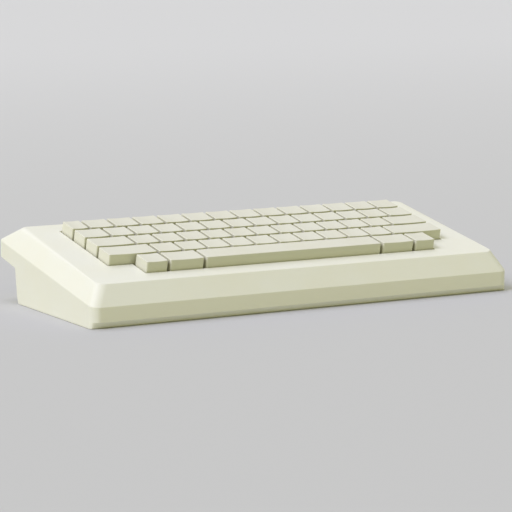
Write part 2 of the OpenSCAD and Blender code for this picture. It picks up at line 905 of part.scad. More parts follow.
module power_socket() {
    bore_len = 9;
    color(black_colour)
        translate([power_x, 0, 0])
            difference() {
                socket_body(9, 14, 11, power_nose_r, socket_axis_h);
                translate([0, socket_nose_y - bore_len, socket_axis_h])
                    rotate([-90, 0, 0])
                        difference() {
                            cylinder(r = power_bore_r, h = bore_len + 1);
                            translate([0, 0, -1])
                                cylinder(r = power_pin_r, h = bore_len + 0.4);
                        }
            }
}

module tape_sockets() {
    color(black_colour)
        for (x = tape_xs)
            translate([x, 0, 0])
                difference() {
                    socket_body(9, 15, 10.4, tape_nose_r, socket_axis_h);
                    translate([0, socket_nose_y - tape_bore_len, socket_axis_h])
                        rotate([-90, 0, 0])
                            cylinder(r = tape_bore_r, h = tape_bore_len + 1);
                }
}

module monitor_socket() {
    color(black_colour)
        translate([monitor_x, 0, 0])
            difference() {
                socket_body(19, 16, 14.8, monitor_r, monitor_axis_h);
                translate([0, socket_nose_y - 8, monitor_axis_h])
                    rotate([-90, 0, 0])
                        for (i = [0:monitor_pins - 1])
                            rotate(180 * i / (monitor_pins - 1) - 180)
                                translate([monitor_pin_ring, 0, 0])
                                    cylinder(r = monitor_pin_r, h = 10);
            }
}

// Slide switch: off at rest, on after switch_travel towards +X
module power_switch() {
    axis_h = socket_axis_h - main_top_h;
    room_w = slider_foot_w + switch_travel + 2 * slider_gap;
    color(black_colour)
        translate([switch_x, main_y1, main_top_h])
            difference() {
                translate([-slider_foot_w, -9, 0])
                    cube([2 * slider_foot_w + switch_travel, 9, 9]);
                translate([-slider_foot_w / 2 - slider_gap, -5, axis_h - slider_foot_h / 2 - slider_gap])
                    cube([room_w, 10, slider_foot_h + 2 * slider_gap]);
            }
}

module power_switch_slider() {
    color(black_colour)
        translate([switch_x, 0, socket_axis_h]) {
            translate([-slider_foot_w / 2, main_y1 - 4.7, -slider_foot_h / 2])
                cube([slider_foot_w, 4, slider_foot_h]);
            translate([-slider_w / 2, main_y1 - 1, -slider_h / 2])
                cube([slider_w, recess_y + switch_reach - main_y1 + 1, slider_h]);
        }
}

module speaker() {
    color(black_colour)
        translate([speaker_x, speaker_y, floor_h]) {
            difference() {
                cylinder(r = speaker_r, h = 3);
                translate([0, 0, -1])
                    cylinder(r1 = speaker_r - 1, r2 = 7, h = 3.6, $fn = 48);
            }
            translate([0, 0, 3 - eps])
                cylinder(r = 9, h = speaker_h - 3);
        }
}

module case_screws() {
    color(metal_colour) {
        for (p = pillar_places)
            translate([p.x, p.y, base_h + counterbore_h - head_h])
                screw(case_screw_len + pillar_foot_h - base_h - counterbore_h - 1);
        for (p = shelf_pillar_places)
            translate([p.x, p.y, shelf_top(p.y) - 2 - head_h])
                screw(case_screw_len + 1);
    }
}

module board_screws() {
    color(metal_colour) {
        for (p = spacer_places)
            translate([p.x, p.y, main_top_h + head_h])
                mirror([0, 0, 1])
                    screw(board_screw_len);
        for (p = boss_places)
            on_deck(p.x, p.y, plate_under_n - head_h)
                screw(board_screw_len);
    }
}

module rubber_feet() {
    color(rubber_colour)
        for (p = foot_places)
            translate([p.x, p.y, 0])
                cylinder(r = foot_r, h = foot_proud + foot_pocket);
}

top_case();
bottom_case();
keyboard_plate();
keyboard_board();
switch_housings();
key_springs();
space_bar_wire();
keyboard_cable();
mainboard();
large_chips();
small_chips();
chip_sockets();
capacitors();
crystal();
voltage_regulator();
heatsink();
tv_modulator();
power_socket();
tape_sockets();
monitor_socket();
power_switch();
power_switch_slider();
speaker();
case_screws();
board_screws();
rubber_feet();
key_group(3, 0, 6);  // keys_d_left
key_group(3, 7, 13);  // keys_d_right
key_group(4, 0, 6);  // keys_e_left
key_group(4, 7, 13);  // keys_e_right
space_bar();
for (i = [0, 1, 3, 4])
    key(0, i);
for (i = [0:11])
    key(1, i);
for (i = [0:12])
    key(2, i);
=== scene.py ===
# %% [markdown]
# # A wedge-shaped home computer
# The whole machine sits in one low case: a keyboard on a sloping deck, and the mainboard under it.
# Its construction comes as a fixed frame of solids in real sizes. This lesson dresses that frame:
# it gives the shells and keys their soft moulded edges, adds the small parts that the frame only
# hints at, and gives every surface the finish of its real material.

# %% Load the frame
import json
import math

import bmesh
import bpy
from mathutils import Matrix, Vector


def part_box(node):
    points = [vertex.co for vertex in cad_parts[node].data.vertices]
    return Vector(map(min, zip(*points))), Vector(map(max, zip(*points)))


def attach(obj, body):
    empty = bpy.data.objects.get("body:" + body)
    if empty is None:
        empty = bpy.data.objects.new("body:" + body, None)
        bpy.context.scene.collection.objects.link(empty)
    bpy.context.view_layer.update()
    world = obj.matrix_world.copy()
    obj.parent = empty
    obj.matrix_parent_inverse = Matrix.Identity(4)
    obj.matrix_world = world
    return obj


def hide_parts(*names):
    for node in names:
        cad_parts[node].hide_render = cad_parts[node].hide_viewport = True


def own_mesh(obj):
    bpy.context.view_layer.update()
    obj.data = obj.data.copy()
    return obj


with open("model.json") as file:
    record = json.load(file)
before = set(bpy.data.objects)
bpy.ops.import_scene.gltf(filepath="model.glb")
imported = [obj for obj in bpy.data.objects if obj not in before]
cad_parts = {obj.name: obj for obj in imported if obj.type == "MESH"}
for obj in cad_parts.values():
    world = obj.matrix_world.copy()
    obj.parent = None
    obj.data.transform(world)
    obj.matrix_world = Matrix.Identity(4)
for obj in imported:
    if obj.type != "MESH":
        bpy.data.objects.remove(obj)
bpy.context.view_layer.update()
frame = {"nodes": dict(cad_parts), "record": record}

MM = 0.001
NODES = frame["nodes"]
case_low, case_high = [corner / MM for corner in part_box("top_case")]
print("case from", [round(v, 1) for v in case_low], "to", [round(v, 1) for v in case_high], "mm")

# %% [markdown]
# ## Places on the deck
# Keys, switches and springs all stand square to the deck, which slopes by 11 degrees. So they are
# laid out in the deck's own directions: u along the rows, v up the slope, n out of the deck.
# One function turns such a place into a point of the frame, and everything else builds on it.

# %% Deck directions
deck_tilt = math.radians(11)
front_bevel = 7.6
deck_front_h = 28.4
deck_origin = Vector((0, case_low.y + front_bevel, deck_front_h))
deck_up = Vector((0, math.cos(deck_tilt), math.sin(deck_tilt)))
deck_out = Vector((0, -math.sin(deck_tilt), math.cos(deck_tilt)))


def on_deck(u, v, n=0.0):
    """The point of the frame, in metres, that lies at u, v, n on the deck, in millimetres."""
    return (deck_origin + Vector((u, 0, 0)) + deck_up * v + deck_out * n) * MM


def in_frame(x, y, z):
    """A point of the frame, in metres, from millimetres."""
    return Vector((x, y, z)) * MM


print("deck runs from", [round(v, 4) for v in on_deck(0, 0)])

# %% [markdown]
# ## Two helpers for materials
# Paint chips and screens give colours as sRGB hex values, while a shader counts in linear light.
# One function converts them. A second one adds a node together with its settings, its fixed inputs
# and its links, so that a material reads as a short list.

# %% Material helpers


def linear(hex_colour):
    """The linear RGBA of an sRGB hex colour."""
    channels = [int(hex_colour[i:i + 2], 16) / 255 for i in (1, 3, 5)]
    return [c / 12.92 if c <= 0.04045 else ((c + 0.055) / 1.055) ** 2.4 for c in channels] + [1.0]


def add(tree, kind, settings=None, sockets=None, links=None):
    """Adds a node: settings are its attributes, sockets fixed inputs, links linked inputs."""
    node = tree.nodes.new(kind)
    for name, value in (settings or {}).items():
        setattr(node, name, value)
    for name, value in (sockets or {}).items():
        node.inputs[name].default_value = value
    for name, source in (links or {}).items():
        tree.links.new(source, node.inputs[name])
    return node


def start(name, colour, roughness, metallic=0.0, ior=1.5):
    """A new material with a principled shader. Returns the material, its tree and the shader."""
    material = bpy.data.materials.new(name)
    material.use_nodes = True
    tree = material.node_tree
    shader = tree.nodes["Principled BSDF"]
    shader.inputs["Base Color"].default_value = linear(colour)
    shader.inputs["Roughness"].default_value = roughness
    shader.inputs["Metallic"].default_value = metallic
    shader.inputs["IOR"].default_value = ior
    return material, tree, shader


def per_metre(size_mm):
    """The scale of a noise or wave texture whose features are this many millimetres apart."""
    return 1 / (size_mm * MM)


MIX_FACTOR, MIX_A, MIX_B, MIX_RESULT = 0, 6, 7, 2
materials = {}

# %% [markdown]
# ## Moulded plastic
# Case, keys and the black parts inside are all injection-moulded. ABS fills every pit of a
# spark-eroded mould, so its surface carries a fine even grain that breaks up the gloss. Old cream
# ABS has also yellowed a little, unevenly. A flat colour would look like paint, so the colour
# drifts over a few centimetres, the gloss varies with it, and the grain is a shallow bump.

# %% Moulded plastic


def moulded(name, colour, aged, grain_mm, relief_mm, rough, drift_mm=45, ior=1.53):
    """Injection-moulded plastic: colour drifting to aged, and a grain of that size and depth."""
    material, tree, shader = start(name, colour, rough[0], ior=ior)
    place = add(tree, "ShaderNodeTexCoord").outputs["Object"]
    drift = add(tree, "ShaderNodeTexNoise", {},
                {"Scale": per_metre(drift_mm), "Detail": 3.0, "Roughness": 0.55}, {"Vector": place})
    share = add(tree, "ShaderNodeMapRange", {"clamp": True},
                {"From Min": 0.35, "From Max": 0.7}, {"Value": drift.outputs["Fac"]})
    tint = add(tree, "ShaderNodeMix", {"data_type": "RGBA"},
               {MIX_A: linear(colour), MIX_B: linear(aged)}, {MIX_FACTOR: share.outputs["Result"]})
    grain = add(tree, "ShaderNodeTexNoise", {},
                {"Scale": per_metre(grain_mm), "Detail": 2.0, "Roughness": 0.6}, {"Vector": place})
    gloss = add(tree, "ShaderNodeMapRange", {"clamp": True},
                {"From Min": 0.3, "From Max": 0.7, "To Min": rough[0], "To Max": rough[1]},
                {"Value": grain.outputs["Fac"]})
    bump = add(tree, "ShaderNodeBump", {}, {"Strength": 1.0, "Distance": relief_mm * MM},
               {"Height": grain.outputs["Fac"]})
    tree.links.new(tint.outputs[MIX_RESULT], shader.inputs["Base Color"])
    tree.links.new(gloss.outputs["Result"], shader.inputs["Roughness"])
    tree.links.new(bump.outputs["Normal"], shader.inputs["Normal"])
    return material


# The real grain is about 0.2 mm. It is drawn at 0.7 mm, the finest that still shows.
for slot, *recipe in (
        ("case_shell", "cream_abs", "#E7E7D8", "#E6E5D2", 0.7, 0.012, (0.42, 0.56)),
        ("key_cap", "warm_grey_abs", "#DCDBCA", "#D9D7C3", 0.6, 0.010, (0.45, 0.60), 30),
        ("black_moulding", "black_nylon", "#26262A", "#2C2C30", 0.6, 0.008, (0.38, 0.50)),
        ("chip_resin", "epoxy_resin", "#1E1E20", "#262628", 0.3, 0.010, (0.55, 0.70), 8),
        ("foot_rubber", "soft_rubber", "#3A3A3C", "#454547", 0.5, 0.015, (0.75, 0.88), 10),
        ("ribbon", "grey_vinyl", "#A9A48F", "#A29C86", 0.5, 0.006, (0.35, 0.45), 15),
        ("capacitor_sleeve", "shrunk_sleeve", "#2B3E6B", "#273862", 0.8, 0.006, (0.22, 0.32))):
    materials[slot] = moulded(*recipe)
print("plastics:", ", ".join(m.name for m in materials.values()))

# %% [markdown]
# ## Painted shade on the fronts
# The faces that point to the front get less light than the tops, so their shade is painted into the
# colour: both plastics get one more tint, darker and more yellow, which grows with how far a face
# points towards the front. The case's tint is for its upright front wall only.

# %% Painted shade on the fronts


def painted_front_shade(material, colour, least, most):
    """Paints shade on faces that point to the front, along -Y; the tint grows from least to most.
    """
    tree = material.node_tree
    shader = tree.nodes["Principled BSDF"]
    unshaded_colour = shader.inputs["Base Color"].links[0].from_socket
    facing = add(tree, "ShaderNodeSeparateXYZ", {}, {},
                 {"Vector": add(tree, "ShaderNodeTexCoord").outputs["Normal"]})
    share = add(tree, "ShaderNodeMapRange", {"clamp": True, "interpolation_type": "SMOOTHSTEP"},
                {"From Min": -least, "From Max": -most}, {"Value": facing.outputs["Y"]})
    tint = add(tree, "ShaderNodeMix", {"data_type": "RGBA"}, {MIX_B: linear(colour)},
               {MIX_FACTOR: share.outputs["Result"], MIX_A: unshaded_colour})
    tree.links.new(tint.outputs[MIX_RESULT], shader.inputs["Base Color"])


# Painted shade: key fronts and the case's front wall are painted darker and more yellow.
painted_front_shade(materials["key_cap"], "#C8C8AF", 0.4, 0.9)
painted_front_shade(materials["case_shell"], "#E0DFCB", 0.9, 0.99)
print("front_shade_painted: key_cap, case_shell")

# %% [markdown]
# ## Metals
# Sheet and wire are steel under a thin coat: zinc on the plate and the screws, tin on the
# modulator's can. A coat like that is bright but never even. Zinc shows pale spangles, rolled
# sheet shows fine lines along the strip, and drawn wire shows lines along its length.

# %% Metals


def coated_metal(name, colour, dull, rough, spangle_mm, line_mm, relief_mm=0.004):
    """Coated sheet metal: spangles of two tones, with fine rolling lines along X."""
    material, tree, shader = start(name, colour, rough[0], metallic=1.0)
    place = add(tree, "ShaderNodeTexCoord").outputs["Object"]
    spangle = add(tree, "ShaderNodeTexVoronoi", {"feature": "F1"},
                  {"Scale": per_metre(spangle_mm), "Randomness": 1.0}, {"Vector": place})
    tone = add(tree, "ShaderNodeSeparateColor", {}, {}, {"Color": spangle.outputs["Color"]})
    tint = add(tree, "ShaderNodeMix", {"data_type": "RGBA"},
               {MIX_A: linear(colour), MIX_B: linear(dull)}, {MIX_FACTOR: tone.outputs["Red"]})
    gloss = add(tree, "ShaderNodeMapRange", {},
                {"To Min": rough[0], "To Max": rough[1]}, {"Value": tone.outputs["Green"]})
    stretched = add(tree, "ShaderNodeMapping", {}, {"Scale": (0.03, 1.0, 1.0)}, {"Vector": place})
    lines = add(tree, "ShaderNodeTexNoise", {}, {"Scale": per_metre(line_mm), "Detail": 3.0},
                {"Vector": stretched.outputs["Vector"]})
    bump = add(tree, "ShaderNodeBump", {}, {"Distance": relief_mm * MM},
               {"Height": lines.outputs["Fac"]})
    tree.links.new(tint.outputs[MIX_RESULT], shader.inputs["Base Color"])
    tree.links.new(gloss.outputs["Result"], shader.inputs["Roughness"])
    tree.links.new(bump.outputs["Normal"], shader.inputs["Normal"])
    return material


for slot, *recipe in (
        ("zinc_plate", "zinc_plated_steel", "#C4C7C6", "#AEB3B3", (0.28, 0.42), 6, 0.4),
        ("spring_steel", "drawn_spring_steel", "#B4B6B6", "#A2A5A6", (0.22, 0.32), 2, 0.3),
        ("tin_can", "tinned_steel", "#CBCBC4", "#BDBEB9", (0.20, 0.34), 9, 0.5),
        ("heatsink_aluminium", "extruded_aluminium", "#C9CBCD", "#BFC2C5", (0.34, 0.46), 4, 0.5)):
    materials[slot] = coated_metal(*recipe)
    print("metal:", materials[slot].name)

# %% [markdown]
# ## Painted shade in the gaps
# Between the keys and on the plate under them, where neighbours keep most of the light out, the
# colour is painted darker and more olive: painted shade. The shader finds such places by how much
# of the open space round a point its neighbours take away.

# %% Painted shade in the gaps


def painted_gap_shade(material, colour, reach_mm):
    """Paints shade on the places that neighbours within reach shut in."""
    tree = material.node_tree
    shader = tree.nodes["Principled BSDF"]
    unshaded_gap_colour = shader.inputs["Base Color"].links[0].from_socket
    openness = add(tree, "ShaderNodeAmbientOcclusion", {"samples": 8}, {"Distance": reach_mm * MM})
    share = add(tree, "ShaderNodeMapRange", {"clamp": True}, {"From Min": 0.6, "From Max": 0.25},
                {"Value": openness.outputs["AO"]})
    tint = add(tree, "ShaderNodeMix", {"data_type": "RGBA"}, {MIX_B: linear(colour)},
               {MIX_FACTOR: share.outputs["Result"], MIX_A: unshaded_gap_colour})
    tree.links.new(tint.outputs[MIX_RESULT], shader.inputs["Base Color"])


# Painted shade: the keys' sides in the gaps and the plate under them are painted darker.
painted_gap_shade(materials["key_cap"], "#C0BEA4", 6)
painted_gap_shade(materials["zinc_plate"], "#B0AE94", 12)
print("dust on: key_cap, zinc_plate")

# %% [markdown]
# ## Circuit board
# A board of this age is glass cloth in epoxy under a green lacquer. The copper tracks lie under
# the lacquer as slightly lighter, slightly raised bands, and rows of tinned pads break through it.
# Tracks run mostly straight, so two stretched noises, cut off hard, give bands along X and Y.

# %% Circuit board


def lacquered_board(name):
    """Green lacquer over copper tracks, with tinned pads on a grid of a tenth of an inch."""
    track_mm, pad_mm = 2.4, 2.54
    material, tree, shader = start(name, "#2A5738", 0.32)
    place = add(tree, "ShaderNodeTexCoord").outputs["Object"]
    bands = []
    for stretch in ((0.12, 1.0, 1.0), (1.0, 0.12, 1.0)):
        long_way = add(tree, "ShaderNodeMapping", {}, {"Scale": stretch}, {"Vector": place})
        noise = add(tree, "ShaderNodeTexNoise", {}, {"Scale": per_metre(track_mm), "Detail": 0.0},
                    {"Vector": long_way.outputs["Vector"]})
        band = add(tree, "ShaderNodeMapRange", {"clamp": True},
                   {"From Min": 0.52, "From Max": 0.55}, {"Value": noise.outputs["Fac"]})
        bands.append(band.outputs["Result"])
    tracks = add(tree, "ShaderNodeMath", {"operation": "MAXIMUM"}, {}, {0: bands[0], 1: bands[1]})
    grid = add(tree, "ShaderNodeTexVoronoi", {"feature": "F1"},
               {"Scale": per_metre(pad_mm), "Randomness": 0.0}, {"Vector": place})
    pads = add(tree, "ShaderNodeMapRange", {"clamp": True},
               {"From Min": 0.24, "From Max": 0.20}, {"Value": grid.outputs["Distance"]})
    lacquer = add(tree, "ShaderNodeMix", {"data_type": "RGBA"},
                  {MIX_A: linear("#24502F"), MIX_B: linear("#3B7446")},
                  {MIX_FACTOR: tracks.outputs[0]})
    tinned = add(tree, "ShaderNodeMix", {"data_type": "RGBA"}, {MIX_B: linear("#B9BBB6")},
                 {MIX_FACTOR: pads.outputs["Result"], MIX_A: lacquer.outputs[MIX_RESULT]})
    height = add(tree, "ShaderNodeMath", {"operation": "ADD"}, {},
                 {0: tracks.outputs[0], 1: pads.outputs["Result"]})
    bump = add(tree, "ShaderNodeBump", {}, {"Distance": 0.03 * MM}, {"Height": height.outputs[0]})
    tree.links.new(tinned.outputs[MIX_RESULT], shader.inputs["Base Color"])
    tree.links.new(pads.outputs["Result"], shader.inputs["Metallic"])
    tree.links.new(bump.outputs["Normal"], shader.inputs["Normal"])
    return material


materials["circuit_board"] = lacquered_board("lacquered_board")
materials["speaker_body"] = moulded(
    "pressed_paper", "#26262A", "#32302E", 0.9, 0.03, (0.7, 0.85), 6)
print("board:", materials["circuit_board"].name)

# %% [markdown]
# ## Dress the frame
# Every solid of the frame gets the material of its slot first. So nothing shows bare, and the
# pieces that are modelled below can replace their solids one after the other.

# %% Materials of the frame's solids
for part in frame["record"]["subparts"]:
    solid = NODES[part["node"]]
    solid.data.materials.clear()
    solid.data.materials.append(materials[part["material_slot"]])

# %% [markdown]
# ## Mesh helpers
# A moulded part never has a knife edge: the mould maker rounds each one by half a millimetre or
# more, and that round catches the light. It could be a bevel modifier, but on a shell with cut-outs
# a bevel is hard to steer. Here the rounds are part of the outline: one function turns a corner of
# three points into an arc, and rings of points are joined to a skin.

# %% Mesh helpers


def rounded(a, b, c, radius, steps):
    """The corner a, b, c with an arc of that radius at b: steps + 1 points."""
    to_a, to_c = (a - b).normalized(), (c - b).normalized()
    half = to_a.angle(to_c) / 2
    reach = radius / math.tan(half)
    centre = b + (to_a + to_c).normalized() * radius / math.sin(half)
    first, last = (b + to_a * reach - centre).normalized(), (b + to_c * reach - centre).normalized()
    return [centre + first.slerp(last, i / steps) * radius for i in range(steps + 1)]


def round_outline(half_x, half_y, radius, steps, along=(1, 1)):
    """Points (x, y, nx, ny) round a rectangle with round corners; along splits its sides."""
    points = []
    for corner, (sx, sy) in enumerate(((1, 1), (-1, 1), (-1, -1), (1, -1))):
        cx, cy = sx * (half_x - radius), sy * (half_y - radius)
        for i in range(steps + 1):
            turn = math.pi / 2 * (corner + i / steps)
            nx, ny = math.cos(turn), math.sin(turn)
            points.append((cx + radius * nx, cy + radius * ny, nx, ny))
        parts = along[corner % 2]
        x, y, nx, ny = points[-1]
        run = 2 * ((half_x if corner % 2 == 0 else half_y) - radius)
        for i in range(1, parts):
            step = run * i / parts
            points.append((x - ny * step, y + nx * step, nx, ny))
    return points


def skin(rings, closed_start=False, closed_end=False):
    """Vertices and faces of a skin over rings of equally many points."""
    count = len(rings[0])
    vertices = [p for ring in rings for p in ring]
    faces = []
    for r in range(len(rings) - 1):
        for i in range(count):
            j = (i + 1) % count
            faces.append((r * count + i, r * count + j, (r + 1) * count + j, (r + 1) * count + i))
    if closed_start:
        faces.append(tuple(reversed(range(count))))
    if closed_end:
        faces.append(tuple((len(rings) - 1) * count + i for i in range(count)))
    return vertices, faces


def make_object(name, vertices, faces, slot=None, body=None, sharp=35):
    """An object from vertices and faces, in metres, dressed for its slot and riding on its body."""
    mesh = bpy.data.meshes.new(name)
    mesh.from_pydata([tuple(v) for v in vertices], [], faces)
    mesh.validate()
    made = bpy.data.objects.new(name, mesh)
    bpy.context.scene.collection.objects.link(made)
    tidy_mesh(made)
    if slot:
        finish_piece(made, slot, body, sharp)
    return made


def tidy_mesh(made):
    """Joins doubled points and turns every face outwards."""
    work = bmesh.new()
    work.from_mesh(made.data)
    bmesh.ops.remove_doubles(work, verts=work.verts, dist=1e-6)
    bmesh.ops.recalc_face_normals(work, faces=work.faces)
    work.to_mesh(made.data)
    work.free()


def finish_piece(made, slot, body, sharp=35):
    """Smooth shading up to an angle, the slot's material, and the body that the piece rides on."""
    made.data.shade_smooth()
    made.data.set_sharp_from_angle(angle=math.radians(sharp))
    even = made.modifiers.new("even_flats", "WEIGHTED_NORMAL")
    even.keep_sharp = True
    made.data.materials.clear()
    made.data.materials.append(materials[slot])
    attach(made, body)


def cut(made, tool, operation="DIFFERENCE"):
    """Cuts made with tool, or joins them, and deletes tool."""
    step = made.modifiers.new(operation.lower(), "BOOLEAN")
    step.object, step.operation, step.solver = tool, operation, "EXACT"
    graph = bpy.context.evaluated_depsgraph_get()
    result = bpy.data.meshes.new_from_object(made.evaluated_get(graph))
    made.modifiers.remove(step)
    made.data = result
    bpy.data.objects.remove(tool)


def open_edges(made):
    """How many edges of an object don't have exactly two faces. A closed skin has none."""
    work = bmesh.new()
    work.from_mesh(made.data)
    count = sum(1 for edge in work.edges if len(edge.link_faces) != 2)
    work.free()
    return count


# %% [markdown]
# ## Lathe and blocks
# Feet, screws, pins and posts are round, so each is a profile turned round an axis: a lathe. Most
# of the rest are blocks. Several solids that stand apart are made as one mesh, and joined to a
# shell or cut from it in a single exact boolean, which is quicker and cleaner than one for each.

# %% Lathe and blocks
UP = Vector((0, 0, 1))
REAR = Vector((0, 1, 0))


def gathered(parts):
    """Vertices and faces of several skins in one list each."""
    vertices, faces = [], []
    for part_vertices, part_faces in parts:
        shift = len(vertices)
        vertices += part_vertices
        faces += [tuple(shift + i for i in face) for face in part_faces]
    return vertices, faces


def turned(profile, base, axis, sides=32):
    """A skin turned round an axis from points (radius, height) in millimetres.

    A profile that ends where it starts makes a ring; any other is closed at both ends.
    """
    closed = profile[0] != profile[-1]
    across = axis.orthogonal().normalized()
    other = axis.cross(across)
    rings = [[base + axis * height * MM + (across * math.cos(t) + other * math.sin(t)) * radius * MM
              for t in (2 * math.pi * i / sides for i in range(sides))]
             for radius, height in profile]
    return skin(rings, closed, closed)


def lathe(name, profile, bases, axis=UP, sides=32, **finish):
    """The same turned solid on every base point."""
    parts = gathered(turned(profile, base, axis, sides) for base in bases)
    return make_object(name, *parts, **finish)


def post(radius, length):
    """The profile of a plain round post."""
    return [(radius, 0), (radius, length)]


def at(places, z):
    """Points of the frame over places (x, y), at height z, in millimetres."""
    return [in_frame(x, y, z) for x, y in places]


def block(x, y, z):
    """A block's skin from its ranges along x, y and z, in millimetres."""
    corners = ((x[0], y[0]), (x[1], y[0]), (x[1], y[1]), (x[0], y[1]))
    return skin([[in_frame(a, b, h) for a, b in corners] for h in z], True, True)


def blocks(name, ranges, **finish):
    """Blocks in one object, each from its ranges along x, y and z."""
    return make_object(name, *gathered(block(*r) for r in ranges), **finish)


# %% [markdown]
# ## Upper shell
# The upper shell is a thin-walled moulding: upright walls, a leaning band of bevels round the
# whole case, and the deck. Wall, bevel and deck meet in soft edges that run round all four
# corners. A ring of profiles gives exactly that: each profile starts at the parting line, climbs
# the wall, turns over two rounded edges and ends on the deck. The opening for the keys and the
# recess at the rear are then cut out of it.

# %% Upper shell
wall = 2.6
corner_r, corner_steps = 7.0, 10
flat_share = 0.8
side_bevel = 8.0
front_wall_h = 14.3
rear_wall_h = 42.0
split_h = 4.4
half_w = case_high.x
half_d = case_high.y
rear_bevel = 20.0
deck_len = (half_d - rear_bevel - (front_bevel - half_d)) / math.cos(deck_tilt)
side_slope = (rear_wall_h - front_wall_h) / (2 * half_d)


def case_outline(inset):
    """Points (x, y) round the case from above, taken in by inset."""
    return [(x, y) for x, y, _, _ in
            round_outline(half_w - inset, half_d - inset, corner_r - inset, corner_steps)]


def case_profiles(inset, edge_r, foot_r):
    """Profiles round the case's form, taken in by inset, from the parting line up onto the deck.

    edge_r is the radius of the deck's edge at the front and at the rear, foot_r that of the wall's.
    """
    deck_in = 0.6 * inset
    half_v = deck_len / 2
    decks = round_outline(
        half_w - side_bevel - deck_in, half_v - deck_in, corner_r, corner_steps)
    profiles = []
    for (x, y), (u, v, nu, nv) in zip(case_outline(inset), decks):
        low = in_frame(x, y, split_h)
        turn = in_frame(x, y, front_wall_h - 0.25 * inset + (y + half_d) * side_slope)
        edge = on_deck(u, v + half_v, -inset)
        flat = on_deck(u - nu * corner_r * flat_share,
                       v - nv * corner_r * flat_share + half_v, -inset)
        profile = [low]
        profile += rounded(low, turn, edge, foot_r * MM, 4) if foot_r else [turn]
        if edge_r:
            towards_rear = max(0.0, min(1.0, v / half_v))
            radius = edge_r[0] + (edge_r[1] - edge_r[0]) * towards_rear ** 2
            profile += rounded(turn, edge, flat, radius * MM, 8)
        else:
            profile += [edge]
        profiles.append(profile + [flat])
    return profiles


def prism(name, outline, low_x, high_x):
    """A prism along X from an outline of points in y and z, in millimetres."""
    rings = [[in_frame(x, y, z) for y, z in outline] for x in (low_x, high_x)]
    return make_object(name, *skin(rings, True, True))


outer = case_profiles(0.0, (1.1, 6.5), 1.1)
inner = case_profiles(wall, None, None)
outer_rings = [list(ring) for ring in zip(*outer)]
inner_rings = [list(ring) for ring in zip(*inner)]
vertices, faces = skin(list(reversed(inner_rings)) + outer_rings, True, True)
upper_shell = make_object("upper_shell", vertices, faces)
print("upper shell:", len(upper_shell.data.polygons), "faces,",
      open_edges(upper_shell), "open edges")

# %% [markdown]
# ## Key opening and rear recess
# All keys stand in one opening, whose edge follows the field of keys: the front row is shorter, so
# the opening is too. Behind, the case is cut back under an overhang, where the plugs go. The
# cutting bodies reach well past the shell, so that no cut ends in a face of it.

# %% Cuts in the upper shell
pitch = 19.05
key_margin = 13.4
field_units = 14.25
front_row_start = 0.975
front_row_units = 12.3
half_field = field_units * pitch / 2
front_left = (front_row_start - field_units / 2) * pitch
front_right = front_left + front_row_units * pitch
field_front = key_margin + pitch
field_rear = key_margin + 5 * pitch
opening = [
    (front_left, key_margin), (front_right, key_margin), (front_right, field_front),
    (half_field, field_front), (half_field, field_rear), (-half_field, field_rear),
    (-half_field, field_front), (front_left, field_front)]
opening_tool = make_object("opening_tool", *skin(
    [[on_deck(u, v, n) for u, v in opening] for n in (-wall - 3, 3)], True, True))
cut(upper_shell, opening_tool)

recess_y = half_d - 29.0
recess_h = 24.8
overhang_h = 30.8
rear_lean = 3.0
rear_undercut = 2.0
rear_undercut_h = 5.3
base_h = 0.8


def recess_outline(grown=0.0, behind=5.0):
    """The recess from the side, as (y, z), grown into the case, and reaching behind the case."""
    slope = (overhang_h - recess_h) / (half_d - recess_y)
    foot_y = recess_y - rear_lean
    return [
        (foot_y - rear_undercut - grown, -1), (foot_y - rear_undercut - grown, base_h),
        (foot_y - grown, rear_undercut_h + grown / 2), (recess_y - grown, recess_h + grown),
        (half_d + behind, overhang_h + grown + behind * slope), (half_d + behind, -1)]


cut(upper_shell, prism("recess_tool", recess_outline(), -half_w - 2, half_w + 2))
print("after the cuts:", open_edges(upper_shell), "open edges")

# %% [markdown]
# ## Posts inside the upper shell
# Under the deck stand the posts that the screws bite into: four long ones for the lower shell, two
# short ones over the rear recess, and eight square to the deck for the keyboard's plate. Each is
# moulded onto the shell, so it is joined to it, and its pilot hole is cut afterwards.

# %% Posts inside the upper shell
pillar_r, boss_r, pilot_r = 3.5, 3.0, 1.25
pillar_u = half_w - 17
pillar_foot_h, pillar_pilot, boss_pilot = 8.0, 9.0, 5.0
plate_n = 8.0
rear_foot_y = recess_y - rear_lean
pillars = [(side * pillar_u, y) for side in (-1, 1) for y in (-half_d + 17, rear_foot_y - 22.5)]
shelf_pillars = [(side * (pillar_u - 45), recess_y + 16) for side in (-1, 1)]
plate_half_u = half_field + 8.25
bosses = [(side * (plate_half_u - 4), v) for side in (-1, 1) for v in (35, 100)]
bosses += [(side * (half_field - front_row_start * pitch / 2), key_margin + pitch / 2)
           for side in (-1, 1)]
bosses += [(side * 70, key_margin + 5 * pitch + 4) for side in (-1, 1)]
deck_rear_y = half_d - rear_bevel
deck_rear_h = deck_front_h + (deck_rear_y + half_d - front_bevel) * math.tan(deck_tilt)


def roof_height(y):
    """Height of the middle of the shell's wall over y, in millimetres."""
    if y < deck_rear_y:
        return deck_front_h + (y + half_d - front_bevel) * math.tan(deck_tilt) - wall / 2
    return deck_rear_h + (y - deck_rear_y) / rear_bevel * (rear_wall_h - deck_rear_h) - wall / 2


def shelf_height(y):
    """Height of the rear recess's ceiling over y, in millimetres."""
    return recess_h + (y - recess_y) * (overhang_h - recess_h) / (half_d - recess_y)


def post_to_roof(radius, x, y, foot_z):
    """The skin of an upright post whose top follows the slope of the shell's wall."""
    points, faces = turned(post(radius, 1), in_frame(x, y, foot_z), UP)
    for point in points[len(points) // 2:]:
        point.z = roof_height(point.y / MM) * MM
    return points, faces


